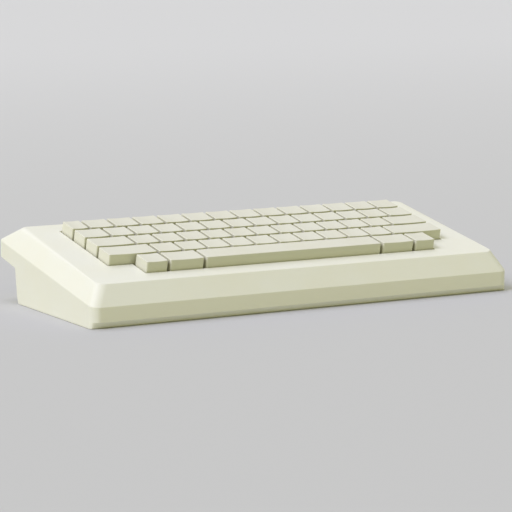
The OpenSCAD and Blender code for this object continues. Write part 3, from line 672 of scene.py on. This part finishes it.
shelf_seat = wall + 1.4
cut(upper_shell, make_object("pillars", *gathered(
    [post_to_roof(pillar_r, x, y, pillar_foot_h) for x, y in pillars]
    + [post_to_roof(pillar_r, x, y, shelf_height(y) + shelf_seat) for x, y in shelf_pillars]
    + [turned(post(boss_r, plate_n - wall / 2), on_deck(u, v, -plate_n), deck_out)
       for u, v in bosses])), "UNION")
cut(upper_shell, make_object("pilot_holes", *gathered(
    [turned(post(pilot_r, pillar_pilot + 1), in_frame(x, y, pillar_foot_h - 1), UP)
     for x, y in pillars]
    + [turned(post(pilot_r, pillar_pilot + 1), in_frame(x, y, shelf_height(y) + shelf_seat - 1), UP)
       for x, y in shelf_pillars]
    + [turned(post(pilot_r, boss_pilot + 1), on_deck(u, v, -plate_n - 1), deck_out)
       for u, v in bosses])))
print("with", len(pillars) + len(shelf_pillars) + len(bosses), "posts:",
      open_edges(upper_shell), "open edges")

finish_piece(upper_shell, "case_shell", "computer", 30)
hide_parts("top_case")

# %% [markdown]
# ## Lower shell
# The lower shell is a shallow tray that carries everything: floor, a low rim with a soft bottom
# edge that hides the rubber feet, a locating lip inside the upper shell, and the rear wall with
# the ledge over the plugs. Its front is cut back, so that the machine seems to float on a thin
# shadow. The tray is one skin of rounded rings; the wall and ledge are a bent sheet joined to it.

# %% Lower shell
front_undercut = 3.0
floor_h = base_h + wall
rim_h, rim_w, rim_edge = 0.1, 1.8, 0.5
lip_h = 8.4
shell_gap = 0.3


def tray_ring(inset, z):
    """A ring of the tray, taken in by inset, at height z, its front cut back below the split."""
    front_y = -half_d + inset + front_undercut * (split_h - z) / (split_h - base_h)
    return [in_frame(x, max(y, front_y), z) for x, y in case_outline(inset)]


def ring_wall(name, insets, z):
    """An upright wall all round the case, between two insets and two heights."""
    (near, far), (low, high) = insets, z
    rings = [[in_frame(x, y, h) for x, y in case_outline(i)]
             for i, h in ((near, low), (near, high), (far, high), (far, low))]
    return make_object(name, *skin(rings + rings[:1]))


rim_turn = [(rim_edge * (1 - math.cos(t)), rim_h + rim_edge * (1 - math.sin(t)))
            for t in (math.pi / 2 * i / 4 for i in range(5))]
tray_rings = [
    tray_ring(wall, floor_h), tray_ring(wall, split_h), tray_ring(0.0, split_h)]
tray_rings += [tray_ring(inset, z) for inset, z in rim_turn]
tray_rings += [tray_ring(rim_w, rim_h), tray_ring(rim_w + 0.3, base_h)]
lower_shell = make_object("lower_shell", *skin(tray_rings, True, True))
print("tray:", open_edges(lower_shell), "open edges")

# %% [markdown]
# ## Rear wall, lip and posts of the lower shell
# The rear wall and the ledge over the plugs are one bent sheet. It is drawn a little too far
# outwards, joined to the tray, and then trimmed with the same outline that cut the upper shell, so
# the two shells line up. The lip and all posts are joined in the same way.

# %% Rear wall, lip and posts
board_low, board_high = [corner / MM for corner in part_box("mainboard")]
spacer_xs = (board_low.x + 6, (board_low.x + board_high.x) / 2, board_high.x - 6)
spacers = [(x, y) for x in spacer_xs for y in (board_low.y + 5, board_high.y - 24)]
spacer_r, seat_r = 3.0, 4.7
behind = -wall - shell_gap
sheet = recess_outline(-1.0, behind)[1:5] + recess_outline(wall, behind)[4:0:-1]
rear_sheet = prism("rear_sheet", sheet, -half_w, half_w)
inside = [[in_frame(x, y, z) for x, y in case_outline(wall + shell_gap)] for z in (-5, 60)]
cut(rear_sheet, make_object("inside", *skin(inside, True, True)), "INTERSECT")
cut(lower_shell, rear_sheet, "UNION")
lip = ring_wall("lip", (wall + shell_gap, 2 * wall), (floor_h - 0.5, lip_h))
lip_end_y = rear_foot_y - rear_undercut - 4
cut(lip, blocks("lip_end", [((-half_w, half_w), (lip_end_y, half_d + 1), (0, 20))]))
cut(lower_shell, lip, "UNION")
cut(lower_shell, make_object("posts", *gathered(
    [turned(post(spacer_r, board_low.z - floor_h + 0.5), p, UP) for p in at(spacers, floor_h - 0.5)]
    + [turned(post(seat_r, pillar_foot_h - base_h - 0.1), p, UP) for p in at(pillars, base_h + 0.1)]
    + [turned(post(seat_r, shelf_seat + 1), in_frame(x, y, shelf_height(y) - 1), UP)
       for x, y in shelf_pillars])), "UNION")
cut(lower_shell, prism("recess_tool", recess_outline(), -half_w - 2, half_w + 2))
print("rear wall, lip and posts:", open_edges(lower_shell), "open edges")

# %% [markdown]
# ## Openings in the lower shell
# Air comes in through slots under the board, sound goes out through a grille of drilled rings, and
# each socket has its own hole in the rear wall. Their places come from the frame: from the
# sockets' mounts and from the box of the piece behind each hole.

# %% Openings in the lower shell
mounts = {m["name"]: Vector(m["pos_m"]) / MM for m in frame["record"]["mounts"]}
speaker_low, speaker_high = [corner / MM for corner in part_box("speaker")]
speaker_x, speaker_y = [(a + b) / 2 for a, b in zip(speaker_low.xy, speaker_high.xy)]
switch_low, switch_high = [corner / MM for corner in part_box("power_switch_slider")]
switch_x = (switch_low.x + switch_high.x) / 2
switch_travel, slider_gap, slider_w, slider_h = 5.0, 0.4, 4.0, 3.0
slots, slot_step, slot_w, slot_len = 8, 14.0, 3.0, 34.0
grille_rings, grille_step, grille_r = 3, 5.0, 1.2
foot_r, foot_pocket, foot_in, foot_back = 6.0, 1.8, 22, 2
screw_r, head_r, head_h = 1.5, 2.7, 1.9
feet = [(x - math.copysign(foot_in, x), y + foot_back) for x, y in pillars]
seat_h = base_h + head_h + 0.6
slot_y = board_low.y + 14
slot_xs = [board_low.x + 25 + i * slot_step for i in range(slots)]
grille = [(speaker_x, speaker_y)]
grille += [(speaker_x + ring * grille_step * math.cos(math.radians(i * 60 / ring)),
            speaker_y + ring * grille_step * math.sin(math.radians(i * 60 / ring)))
           for ring in range(1, grille_rings + 1) for i in range(6 * ring)]
tape_xs = (mounts["tape_in"].x, mounts["tape_out"].x)
tape_z = mounts["tape_in"].z
wall_y = (30, 60)
window_side, window_h = 8.0, 13.0
slot_half_x, slot_half_z = slider_w / 2 + slider_gap, slider_h / 2 + slider_gap
power_hole_r, television_hole_r, monitor_hole_r = 5.0, 7.15, 7.6
round_holes = [
    (mounts["power_in"], power_hole_r), (mounts["television_out"], television_hole_r),
    (mounts["monitor_out"], monitor_hole_r)]
cut(lower_shell, make_object("large_openings", *gathered(
    [block((x, x + slot_w), (slot_y, slot_y + slot_len), (-2, 6)) for x in slot_xs]
    + [turned(post(grille_r, 8), p, UP, 16) for p in at(grille, -2)]
    + [turned(post(head_r + 0.4, seat_h + 2), p, UP) for p in at(pillars, -2)]
    + [turned(post(head_r + 0.4, shelf_height(y) + shelf_seat - 4), in_frame(x, y, 2), UP)
       for x, y in shelf_pillars]
    + [turned(post(foot_r + 0.2, foot_pocket + 2), p, UP, 48) for p in at(feet, -2)]
    + [turned(post(radius, wall_y[1] - wall_y[0]), in_frame(m.x, wall_y[0], m.z), REAR, 48)
       for m, radius in round_holes]
    + [block((min(tape_xs) - window_side, max(tape_xs) + window_side), wall_y,
             (tape_z - window_h / 2, tape_z + window_h / 2)),
       block((switch_x - slot_half_x, switch_x + slot_half_x + switch_travel), wall_y,
             (tape_z - slot_half_z, tape_z + slot_half_z))])))
cut(lower_shell, make_object("screw_holes", *gathered(
    [turned(post(screw_r + 0.2, 14), p, UP) for p in at(pillars, 0)]
    + [turned(post(screw_r + 0.2, 20), in_frame(x, y, shelf_height(y)), UP)
       for x, y in shelf_pillars]
    + [turned(post(pilot_r, 6), p, UP) for p in at(spacers, board_high.z - 5.5)])))
finish_piece(lower_shell, "case_shell", "computer", 30)
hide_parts("bottom_case")
print("lower shell:", len(lower_shell.data.polygons), "faces,",
      open_edges(lower_shell), "open edges")

# %% [markdown]
# ## Feet and screws
# The feet are rubber buttons with a soft outer edge and a hollow under the middle. The screws are
# pan heads with a cross recess; their thread is drawn as a row of sharp ridges, which looks the
# same as a true helix at this size. One screw is turned and cut, then copied to every place.

# %% Feet and screws
foot_profile = [
    (3.6, 0.35), (4.0, 0.0), (5.5, 0.0), (5.85, 0.15), (foot_r, 0.5), (foot_r, foot_pocket)]
rubber = lathe("rubber_feet_buttons", foot_profile, at(feet, 0), UP, 48,
               slot="foot_rubber", body="computer")
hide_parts("rubber_feet")


def screw(name, shank):
    """A screw along +Z from its head's face, with a cross recess and a ridged shank."""
    thread_pitch, tip = 0.9, 1.4
    ridges = int((shank - tip) / thread_pitch)
    profile = [(1.2, 0.0), (2.1, 0.18), (head_r, 0.75), (head_r, head_h), (screw_r - 0.25, head_h)]
    for i in range(ridges):
        start_h = head_h + 0.2 + i * thread_pitch
        profile += [(screw_r - 0.25, start_h), (screw_r, start_h + thread_pitch / 2),
                    (screw_r - 0.25, start_h + thread_pitch * 0.95)]
    profile.append((0.2, head_h + shank))
    made = make_object(name, *turned(profile, Vector(), UP, 24))
    arm, half, depth = 1.7, 0.32, 1.1
    cross = [(half, half), (half, arm), (-half, arm), (-half, half), (-arm, half), (-arm, -half),
             (-half, -half), (-half, -arm), (half, -arm), (half, -half), (arm, -half), (arm, half)]
    cut(made, make_object("cross", *skin(
        [[in_frame(x, y, z) for x, y in cross] for z in (-1, depth)], True, True)))
    return made


def copies(name, master, placed, **finish):
    """Copies of a mesh in one object; placed gives each one's base point and direction."""
    parts = []
    for base, direction in placed:
        turn = direction.to_track_quat("Z", "Y")
        parts.append(([base + turn @ v.co for v in master.data.vertices],
                      [tuple(f.vertices) for f in master.data.polygons]))
    bpy.data.objects.remove(master)
    return make_object(name, *gathered(parts), **finish)


bench = {"slot": "zinc_plate", "body": "computer"}
head_z = base_h + 0.6
long_screws = copies("long_screws", screw("long_screw", pillar_foot_h + pillar_pilot - seat_h - 1),
                     [(p, UP) for p in at(pillars, head_z)], **bench)
ledge_screws = copies("ledge_screws", screw("ledge_screw", 10),
                      [(in_frame(x, y, shelf_height(y) + shelf_seat - 2 - head_h), UP)
                       for x, y in shelf_pillars], **bench)
plate_under_n = -plate_n - 1.2
short_screws = copies("short_screws", screw("short_screw", 5),
                      [(p, -UP) for p in at(spacers, board_high.z + head_h)]
                      + [(on_deck(u, v, plate_under_n - head_h), deck_out)
                         for u, v in bosses], **bench)
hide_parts("case_screws")
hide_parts("case_screws")
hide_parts("board_screws")
print("screws:", len(pillars), "long,", len(shelf_pillars), "over the ledge,",
      len(spacers) + len(bosses), "short")

# %% [markdown]
# ## Key tops
# A key top is a small five-sided box, open below. Its top is hollowed like a shallow trough for
# the fingertip, its rear face leans forward so that it leaves the mould, and every upper edge is
# rounded. All 58 keys share one mould shape and differ only in width, so one function makes them:
# a rounded outline that rises up the walls, turns over the edge and runs to the middle in rings,
# sinking with the trough.

# %% Key top shape
cap_gap = 2.0
cap_top = 7.5
cap_bottom = -3.2
cap_wall = 1.3
cap_ceiling = 5.9
cap_r = 1.2
cap_edge = 0.4
cap_lean = 0.7
dish = 0.3
dish_rim = 0.7
stem_r, stem_sides = 2.3, 24
stem_bottom = -3.4
hollow_r = 0.4
ceiling_lean = 0.85 * cap_lean
edge_steps = 4
side_parts = (14, 5)


def key_top_mesh(name, u0, v0, units, dished=True):
    """The mesh object of a key top of that many key widths, with its axis at u0, v0 on the deck."""
    half_u = (units * pitch - cap_gap) / 2
    half_v = (pitch - cap_gap) / 2
    trough = half_u - dish_rim

    def sink(u):
        return dish * max(0.0, 1 - (u / trough) ** 2) if dished else 0.0

    def place(u, v, n):
        leaning = cap_lean * (n - cap_bottom) / (cap_top - cap_bottom) * (v + half_v) / (2 * half_v)
        return on_deck(u0 + u, v0 + v - max(0.0, leaning), n)

    outline = round_outline(half_u, half_v, cap_r, edge_steps, side_parts)
    wall_rings = [[place(u, v, cap_bottom) for u, v, _, _ in outline]]
    for i in range(edge_steps + 1):
        turn = math.pi / 2 * i / edge_steps
        inset = cap_edge * (1 - math.cos(turn))
        drop = cap_edge * (1 - math.sin(turn))
        wall_rings.append([place(u - nu * inset, v - nv * inset, cap_top - drop - sink(u))
                           for u, v, nu, nv in outline])
    for share in (0.85, 0.6, 0.3):
        wall_rings.append([
            place((u - nu * cap_edge) * share, (v - nv * cap_edge) * share,
                  cap_top - sink((u - nu * cap_edge) * share)) for u, v, nu, nv in outline])
    hollow = round_outline(
        half_u - cap_wall, half_v - cap_wall, hollow_r, edge_steps, side_parts)
    hollow_rings = [
        [place(u, v, cap_bottom) for u, v, _, _ in hollow],
        [on_deck(u0 + u, v0 + v - ceiling_lean * (v + half_v) / (2 * half_v), cap_ceiling)
         for u, v, _, _ in hollow]]
    rings = list(reversed(hollow_rings)) + wall_rings
    vertices, faces = skin(rings)
    count = len(outline)
    middle = len(vertices)
    vertices.append(place(0, 0, cap_top - sink(0)))
    last = middle - count
    faces += [(last + i, last + (i + 1) % count, middle) for i in range(count)]
    stem = [[on_deck(u0 + stem_r * math.cos(t), v0 + stem_r * math.sin(t), n)
             for t in (2 * math.pi * i / stem_sides for i in range(stem_sides))]
            for n in (cap_ceiling, stem_bottom)]
    stem_vertices, stem_faces = skin(stem, False, True)
    shift = len(vertices)
    vertices += stem_vertices
    faces += [tuple(shift + i for i in face) for face in stem_faces]
    mesh = bpy.data.meshes.new(name)
    mesh.from_pydata([tuple(v) for v in vertices], [], faces)
    work = bmesh.new()
    work.from_mesh(mesh)
    loops = [edge for edge in work.edges if len(edge.link_faces) == 1]
    bmesh.ops.triangle_fill(work, use_beauty=True, edges=loops)
    bmesh.ops.recalc_face_normals(work, faces=work.faces)
    work.to_mesh(mesh)
    work.free()
    made = bpy.data.objects.new(name, mesh)
    bpy.context.scene.collection.objects.link(made)
    return made


# %% [markdown]
# ## Rows of keys
# Five rows step sideways as on a typewriter. Each row is a list of key widths, and every key
# stands a pitch behind the row in front. The two rear rows move in groups of seven; the frame
# says which body each key belongs to.

# %% Rows of keys
space_units, end_units, group_keys = 7.5, 0.95, 7
side_units = (front_row_units - space_units - 2 * end_units) / 2
rows = {
    "a": (front_row_start, [end_units, side_units, space_units, side_units, end_units]),
    "b": (0.0, [2] + [1] * 10 + [2.25]),
    "c": (0.0, [1.625] + [1] * 11 + [1.625]),
    "d": (0.0, [1.125] + [1] * 12 + [1.125]),
    "e": (0.0, [0.75] + [13.5 / 13] * 13)}


def key_places():
    """Every key as (name, node, u, v, units)."""
    places = []
    for row, (letter, (start_units, widths)) in enumerate(rows.items()):
        run = start_units - field_units / 2
        for i, units in enumerate(widths, start=1):
            name = "space_bar" if letter + str(i) == "a3" else f"key_{letter}{i}"
            half = "left" if i <= group_keys else "right"
            node = name if letter in "abc" else f"keys_{letter}_{half}"
            places.append((name, node, (run + units / 2) * pitch,
                           key_margin + (row + 0.5) * pitch, units))
            run += units
    return places


for name, node, u, v, units in key_places():
    cap = key_top_mesh("cap_" + name, u, v, units, dished=name != "space_bar")
    finish_piece(cap, "key_cap", node + "_press", 50)
    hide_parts(node)
sample = bpy.data.objects["cap_key_b3"]
print("key tops:", len(key_places()), "with", len(sample.data.polygons), "faces each,",
      open_edges(sample), "open edges")

# %% [markdown]
# ## Springs
# Under each key stands a helix of spring steel with its end turns lying flat. A wire's round
# section is carried along the coil. The springs ride on the case and keep their length; how much of
# it a spring would keep under a pressed key is only worked out and printed.

# %% Springs
coil_r, coil_wire, coil_turns, flat_turns = 2.0, 0.2, 6.0, 0.9
spring_low, spring_high, key_travel = -12.2, -3.4, 3.8
turn_steps, wire_sides = 12, 6
deck_right = Vector((1, 0, 0))


def helix(u, v):
    """A spring's skin over one place on the deck."""
    rings = []
    for i in range(int(coil_turns * turn_steps) + 1):
        turn = 2 * math.pi * i / turn_steps
        share = (i / turn_steps - flat_turns) / (coil_turns - 2 * flat_turns)
        low, high = spring_low + coil_wire, spring_high - coil_wire
        centre = on_deck(u, v, low + (high - low) * min(max(share, 0), 1))
        side = deck_right * math.cos(turn) + deck_up * math.sin(turn)
        rings.append([centre + side * (coil_r + coil_wire * math.cos(a)) * MM
                      + deck_out * coil_wire * math.sin(a) * MM
                      for a in (2 * math.pi * k / wire_sides for k in range(wire_sides))])
    return skin(rings, True, True)


keep = 1 - key_travel / (spring_high - spring_low)
key_nodes = sorted({node for _, node, _, _, _ in key_places()})
for node in key_nodes:
    spring = make_object("spring_" + node,
                         *gathered(helix(u, v) for _, n, u, v, _ in key_places() if n == node),
                         slot="spring_steel", body="computer", sharp=60)
    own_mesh(spring)
    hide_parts("key_springs")
print("springs:", len(key_places()), "in", len(key_nodes), "pieces, each keeping", round(keep, 3))

# %% [markdown]
# ## Chips
# A chip is a block of resin whose sides lean, with a notch at one end and two rows of tinned legs
# 2.54 mm apart. The chips' places are read from the frame's own solids, so one function dresses
# the small chips, which stand on the board, and the large ones in their sockets.

# %% Chips
chip_pitch, chip_lean = 2.54, 0.35
leg_t, leg_root, leg_bend, foot_top = 0.25, 0.5, 1.3, 1.2
shoulder_half, foot_half = 0.65, 0.25
notch_r, notch_depth = 1.2, 0.6


def solids(node):
    """The box of each solid of a CAD node, as (low corner, high corner) in millimetres."""
    work = bmesh.new()
    work.from_mesh(NODES[node].data)
    bmesh.ops.remove_doubles(work, verts=work.verts, dist=1e-6)
    left, boxes = set(work.verts), []
    while left:
        found = [left.pop()]
        for vertex in found:
            near = {edge.other_vert(vertex) for edge in vertex.link_edges} & left
            left -= near
            found += near
        boxes.append(tuple(Vector([pick(v.co[i] for v in found) for i in range(3)]) / MM
                           for pick in (min, max)))
    work.free()
    return sorted(boxes, key=lambda b: (b[0].y, b[0].x))


def chips(node, half_w, leg_y, body_z):
    """Resin bodies and legs for every solid of a node; the body starts body_z above its foot."""
    bodies, notches, legs = [], [], []
    for low, high in solids(node):
        x, y = (low.x + high.x) / 2, (low.y + high.y) / 2
        half_l, middle = (high.x - low.x) / 2, (low.z + body_z + high.z) / 2
        pins = round((2 * half_l - 1) / chip_pitch)
        levels = ((chip_lean, low.z + body_z), (0, middle), (chip_lean, high.z))
        bodies.append(skin([[in_frame(x + sx * (half_l - inset), y + sy * (half_w - inset), z)
                             for sx, sy in ((-1, -1), (1, -1), (1, 1), (-1, 1))]
                            for inset, z in levels], True, True))
        notch_foot = in_frame(low.x + chip_lean, y, high.z - notch_depth)
        notches.append(turned(post(notch_r, 1), notch_foot, UP, 24))
        for i in range(pins):
            px = x + (i - (pins - 1) / 2) * chip_pitch
            for side in (-1, 1):
                def strip(half, inner, z):
                    near, far = sorted((y + side * inner, y + side * leg_y))
                    return block((px - half, px + half), (near, far), z)
                legs += [strip(shoulder_half, half_w - leg_root,
                               (middle - leg_t / 2, middle + leg_t / 2)),
                         strip(shoulder_half, leg_y - leg_t, (middle - leg_bend, middle)),
                         strip(foot_half, leg_y - leg_t, (low.z, middle - foot_top))]
    resin = make_object(node + "_resin", *gathered(bodies))
    cut(resin, make_object("notches", *gathered(notches)))
    finish_piece(resin, "chip_resin", "computer", 20)
    tinned = make_object(node + "_legs", *gathered(legs), slot="tin_can", body="computer", sharp=20)
    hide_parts(node)
    return len(bodies), len(legs) // 3, open_edges(resin) + open_edges(tinned)


print("small chips, legs, open edges:", chips("small_chips", 3.2, 3.95, 0.8))
print("large chips, legs, open edges:", chips("large_chips", 6.9, 7.8, 0))

# %% [markdown]
# ## Sockets and switch
# The sockets keep the frame's bodies and get the metal that a plug touches: a sleeve on the
# power pin, rings on the tape sockets, a shield round the monitor's pins and an insulating ring on
# the television collar. The switch's slider gets ridges for a finger.

# %% Sockets and switch
metal_part = {"slot": "tin_can", "body": "computer"}
nose_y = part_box("power_socket")[1].y / MM
collar_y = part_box("tv_modulator")[1].y / MM
power, monitor, television = (mounts[n] for n in ("power_in", "monitor_out", "television_out"))
lathe("power_pin_sleeve", [(1.12, 0), (1.12, 7.9), (0.95, 8.35), (0.6, 8.5)],
      [in_frame(power.x, nose_y - 9, power.z)], REAR, **metal_part)


def ring(name, inner, outer, y, places, proud=0.2, **finish):
    """Flat rings with rounded rims that stand proud of a face at y, round places (x, z)."""
    section = [(inner, -0.3), (inner, proud * 0.6), (inner + 0.1, proud), (outer - 0.2, proud),
               (outer, proud * 0.4), (outer, -0.3), (inner, -0.3)]
    return lathe(name, section, [in_frame(x, y, z) for x, z in places], REAR, 48, **finish)


ring("tape_rings", 1.85, 2.75, nose_y, [(x, tape_z) for x in tape_xs], **metal_part)
ring("monitor_shield", 5.9, 6.7, nose_y, [(monitor.x, monitor.z)], **metal_part)
ring("collar_insulator", 1.65, 3.2, collar_y, [(television.x, television.z)], proud=0.12,
     slot="black_moulding", body="computer")
foot_d, ridge, ridges = 4.0, 0.3, 4
slider_end, slider_start = switch_high.y, switch_low.y
tooth = slider_w / ridges
knob = [(slider_w / 2, slider_start + foot_d - 0.3)]
for i in range(ridges):
    edge = slider_w / 2 - i * tooth
    knob += [(edge, slider_end - ridge), (edge - tooth * 0.3, slider_end),
             (edge - tooth * 0.7, slider_end)]
knob += [(-slider_w / 2, slider_end - ridge), (-slider_w / 2, slider_start + foot_d - 0.3)]
slider = make_object("switch_slider", *gathered([
    skin([[in_frame(switch_x + x, y, z) for x, y in reversed(knob)]
          for z in (tape_z - slider_h / 2, tape_z + slider_h / 2)], True, True),
    block((switch_low.x, switch_high.x), (slider_start, slider_start + foot_d),
          (switch_low.z, switch_high.z))]),
    slot="black_moulding", body="power_switch_knob", sharp=30)
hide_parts("power_switch_slider")

# %% [markdown]
# ## Capacitors and speaker
# A capacitor is an aluminium can in a shrunk plastic sleeve, with a groove near its foot and a bare
# top. The speaker is a paper cone in a pressed frame, with its magnet behind. All of them are
# round, so each is one profile on the lathe, set where the frame has its solid.

# %% Capacitors and speaker
sleeves, caps = [], []
for low, high in solids("capacitors"):
    r, h = (high.x - low.x) / 2, high.z - low.z
    base = in_frame((low.x + high.x) / 2, (low.y + high.y) / 2, low.z)
    sleeves.append(turned(
        [(r - 0.6, 0), (r - 0.1, 0.2), (r, 0.6), (r, 1.2), (r - 0.35, 1.7), (r, 2.2),
         (r, h - 0.5), (r - 0.25, h), (r - 0.8, h)], base, UP, 40))
    caps.append(turned(
        [(r - 0.75, h - 0.3), (r - 0.75, h + 0.05), (r * 0.55, h + 0.08), (r * 0.5, h - 0.1),
         (r * 0.15, h - 0.1)], base, UP, 40))
sleeved = make_object("capacitor_sleeves", *gathered(sleeves),
                      slot="capacitor_sleeve", body="computer")
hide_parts("capacitors")
make_object("capacitor_tops", *gathered(caps), **metal_part)
speaker_r, magnet_r, speaker_h = speaker_high.x - speaker_x, 9.0, speaker_high.z - speaker_low.z
driver = lathe(
    "speaker_driver",
    [(0.4, 1.0), (3, 1.25), (5, 2.1), (6, 2.55), (16.5, 0.75), (17.2, 0.35), (18.0, 0.35),
     (18.6, 0.8), (18.8, 0.05), (speaker_r - 0.3, 0), (speaker_r, 0.3), (speaker_r, 2.6),
     (speaker_r - 0.4, 3.0), (11.5, 3.4), (magnet_r + 1, 4.2), (magnet_r + 1, 4.8),
     (magnet_r, 4.8), (magnet_r, speaker_h - 0.4), (magnet_r - 0.5, speaker_h), (0.4, speaker_h)],
    [in_frame(speaker_x, speaker_y, speaker_low.z)], UP, 64, slot="speaker_body", body="computer")
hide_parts("speaker")
print("capacitors:", len(sleeves), "speaker radius:", round(speaker_r, 2),
      "open edges:", open_edges(sleeved) + open_edges(driver) + open_edges(slider))

# %% [markdown]
# ## Floor
# The machine stands on a plain pale ground. It is modelled as one large sheet of background paper,
# wide enough that its far edge never shows. Its grey is painted lighter with the distance: painted
# light, in place of the better light that real background paper gets further back, where it curves
# up towards the lamps.

# %% Floor
floor_half = 30.0
floor_mesh = bpy.data.meshes.new("floor")
floor_mesh.from_pydata(
    [(sx * floor_half, sy * floor_half, 0) for sx, sy in ((-1, -1), (1, -1), (1, 1), (-1, 1))],
    [], [(0, 1, 2, 3)])
floor = bpy.data.objects.new("floor", floor_mesh)
bpy.context.scene.collection.objects.link(floor)


def matt_paper(near_y, far_y):
    """Seamless background paper: matt grey, painted lighter from near_y to far_y, in metres."""
    material, tree, shader = start("background_paper", "#CBCBCB", 0.9)
    shader.inputs["Specular IOR Level"].default_value = 0.2
    place = add(tree, "ShaderNodeTexCoord").outputs["Object"]
    along = add(tree, "ShaderNodeSeparateXYZ", {}, {}, {"Vector": place})
    share = add(tree, "ShaderNodeMapRange", {"clamp": True, "interpolation_type": "SMOOTHSTEP"},
                {"From Min": near_y, "From Max": far_y}, {"Value": along.outputs["Y"]})
    # Painted light: the floor is painted lighter towards the back.
    tint = add(tree, "ShaderNodeMix", {"data_type": "RGBA"},
               {MIX_A: linear("#C1C1BE"), MIX_B: linear("#D0D0CE")},
               {MIX_FACTOR: share.outputs["Result"]})
    tree.links.new(tint.outputs[MIX_RESULT], shader.inputs["Base Color"])
    return material


floor_mesh.materials.append(matt_paper(-0.4, 3.0))
print("floor:", 2 * floor_half, "m square")

# %% [markdown]
# ## Light
# Soft light from three sources. A wide lamp high on the left makes the faces that look up or left
# read as clean cream. A weaker, wider one above the rear edge puts a soft shadow on the floor just
# in front of the case. The sky fills the rest: warm and bright near the horizon, cool and dimmer
# overhead, so the front, which neither lamp reaches, stays a tone darker and more yellow. Below the
# horizon it is plain grey, for whoever turns the machine over to look at its underside.
# A tinted sky would show as a coloured wall behind the floor and in shiny metal, so whatever the
# camera, a reflection or clear plastic sees of it is plain pale grey.

# %% Light
plain_grey = "#CECECE"
world = bpy.data.worlds.new("studio")
world.use_nodes = True
sky = world.node_tree
direction = add(sky, "ShaderNodeSeparateXYZ", {}, {},
                {"Vector": add(sky, "ShaderNodeTexCoord").outputs["Generated"]})
height = add(sky, "ShaderNodeMapRange", {"clamp": True}, {"From Min": 0.45, "From Max": 0.8},
             {"Value": direction.outputs["Z"]})
tone = add(sky, "ShaderNodeMix", {"data_type": "RGBA"},
           {MIX_A: linear("#DEDE9A"), MIX_B: linear("#9292A8")},
           {MIX_FACTOR: height.outputs["Result"]})
above = add(sky, "ShaderNodeMapRange", {"clamp": True}, {"From Min": -0.02, "From Max": 0.0},
            {"Value": direction.outputs["Z"]})
tone = add(sky, "ShaderNodeMix", {"data_type": "RGBA"}, {MIX_A: linear(plain_grey)},
           {MIX_FACTOR: above.outputs["Result"], MIX_B: tone.outputs[MIX_RESULT]})
ray = add(sky, "ShaderNodeLightPath").outputs
seen = add(sky, "ShaderNodeMath", {"operation": "ADD"}, {},
           {0: ray["Is Camera Ray"], 1: ray["Is Glossy Ray"]})
seen = add(sky, "ShaderNodeMath", {"operation": "ADD", "use_clamp": True}, {},
           {0: seen.outputs[0], 1: ray["Is Transmission Ray"]})
backdrop = add(sky, "ShaderNodeMix", {"data_type": "RGBA"}, {MIX_B: linear(plain_grey)},
               {MIX_FACTOR: seen.outputs[0], MIX_A: tone.outputs[MIX_RESULT]})
sky.links.new(backdrop.outputs[MIX_RESULT], sky.nodes["Background"].inputs["Color"])
bpy.context.scene.world = world

for name, energy, colour, wide, lamp_from in (
        ("left_softbox", 1.74, (1.0, 1.0, 1.3), 28, (-0.7, -0.14, 0.72)),
        ("rear_softbox", 0.75, (1.0, 1.0, 1.1), 35, (0.0, 0.42, 0.9))):
    lamp_data = bpy.data.lights.new(name, "SUN")
    lamp_data.energy, lamp_data.color, lamp_data.angle = energy, colour, math.radians(wide)
    lamp = bpy.data.objects.new(name, lamp_data)
    lamp.rotation_euler = Vector(lamp_from).to_track_quat("Z", "Y").to_euler()
    bpy.context.scene.collection.objects.link(lamp)
    print(name, "from", lamp_from)
bpy.context.scene.view_settings.view_transform = "Standard"

# %% [markdown]
# ## Camera
# The view is from the front and slightly from the left, a hand's height above the desk, through a
# long lens from a metre and a half away, so that the rows of keys stay nearly parallel.

# %% Camera
image_px = 512
focal_px = 2260.5
sensor_mm = 36.0
azimuth, elevation, roll = (math.radians(a) for a in (30.459, 8.451, 0.321))
camera_place = in_frame(-806.55, -1370.70, 263.58)
camera_data = bpy.data.cameras.new("camera")
camera_data.sensor_width = sensor_mm
camera_data.lens = focal_px / image_px * sensor_mm
camera_data.clip_end = 100
camera = bpy.data.objects.new("camera", camera_data)
camera.matrix_world = (
    Matrix.Translation(camera_place)
    @ Matrix.Rotation(-azimuth, 4, "Z")
    @ Matrix.Rotation(math.pi / 2 - elevation, 4, "X")
    @ Matrix.Rotation(roll, 4, "Z"))
bpy.context.scene.collection.objects.link(camera)
bpy.context.scene.camera = camera
print("lens:", round(camera_data.lens, 1), "mm")
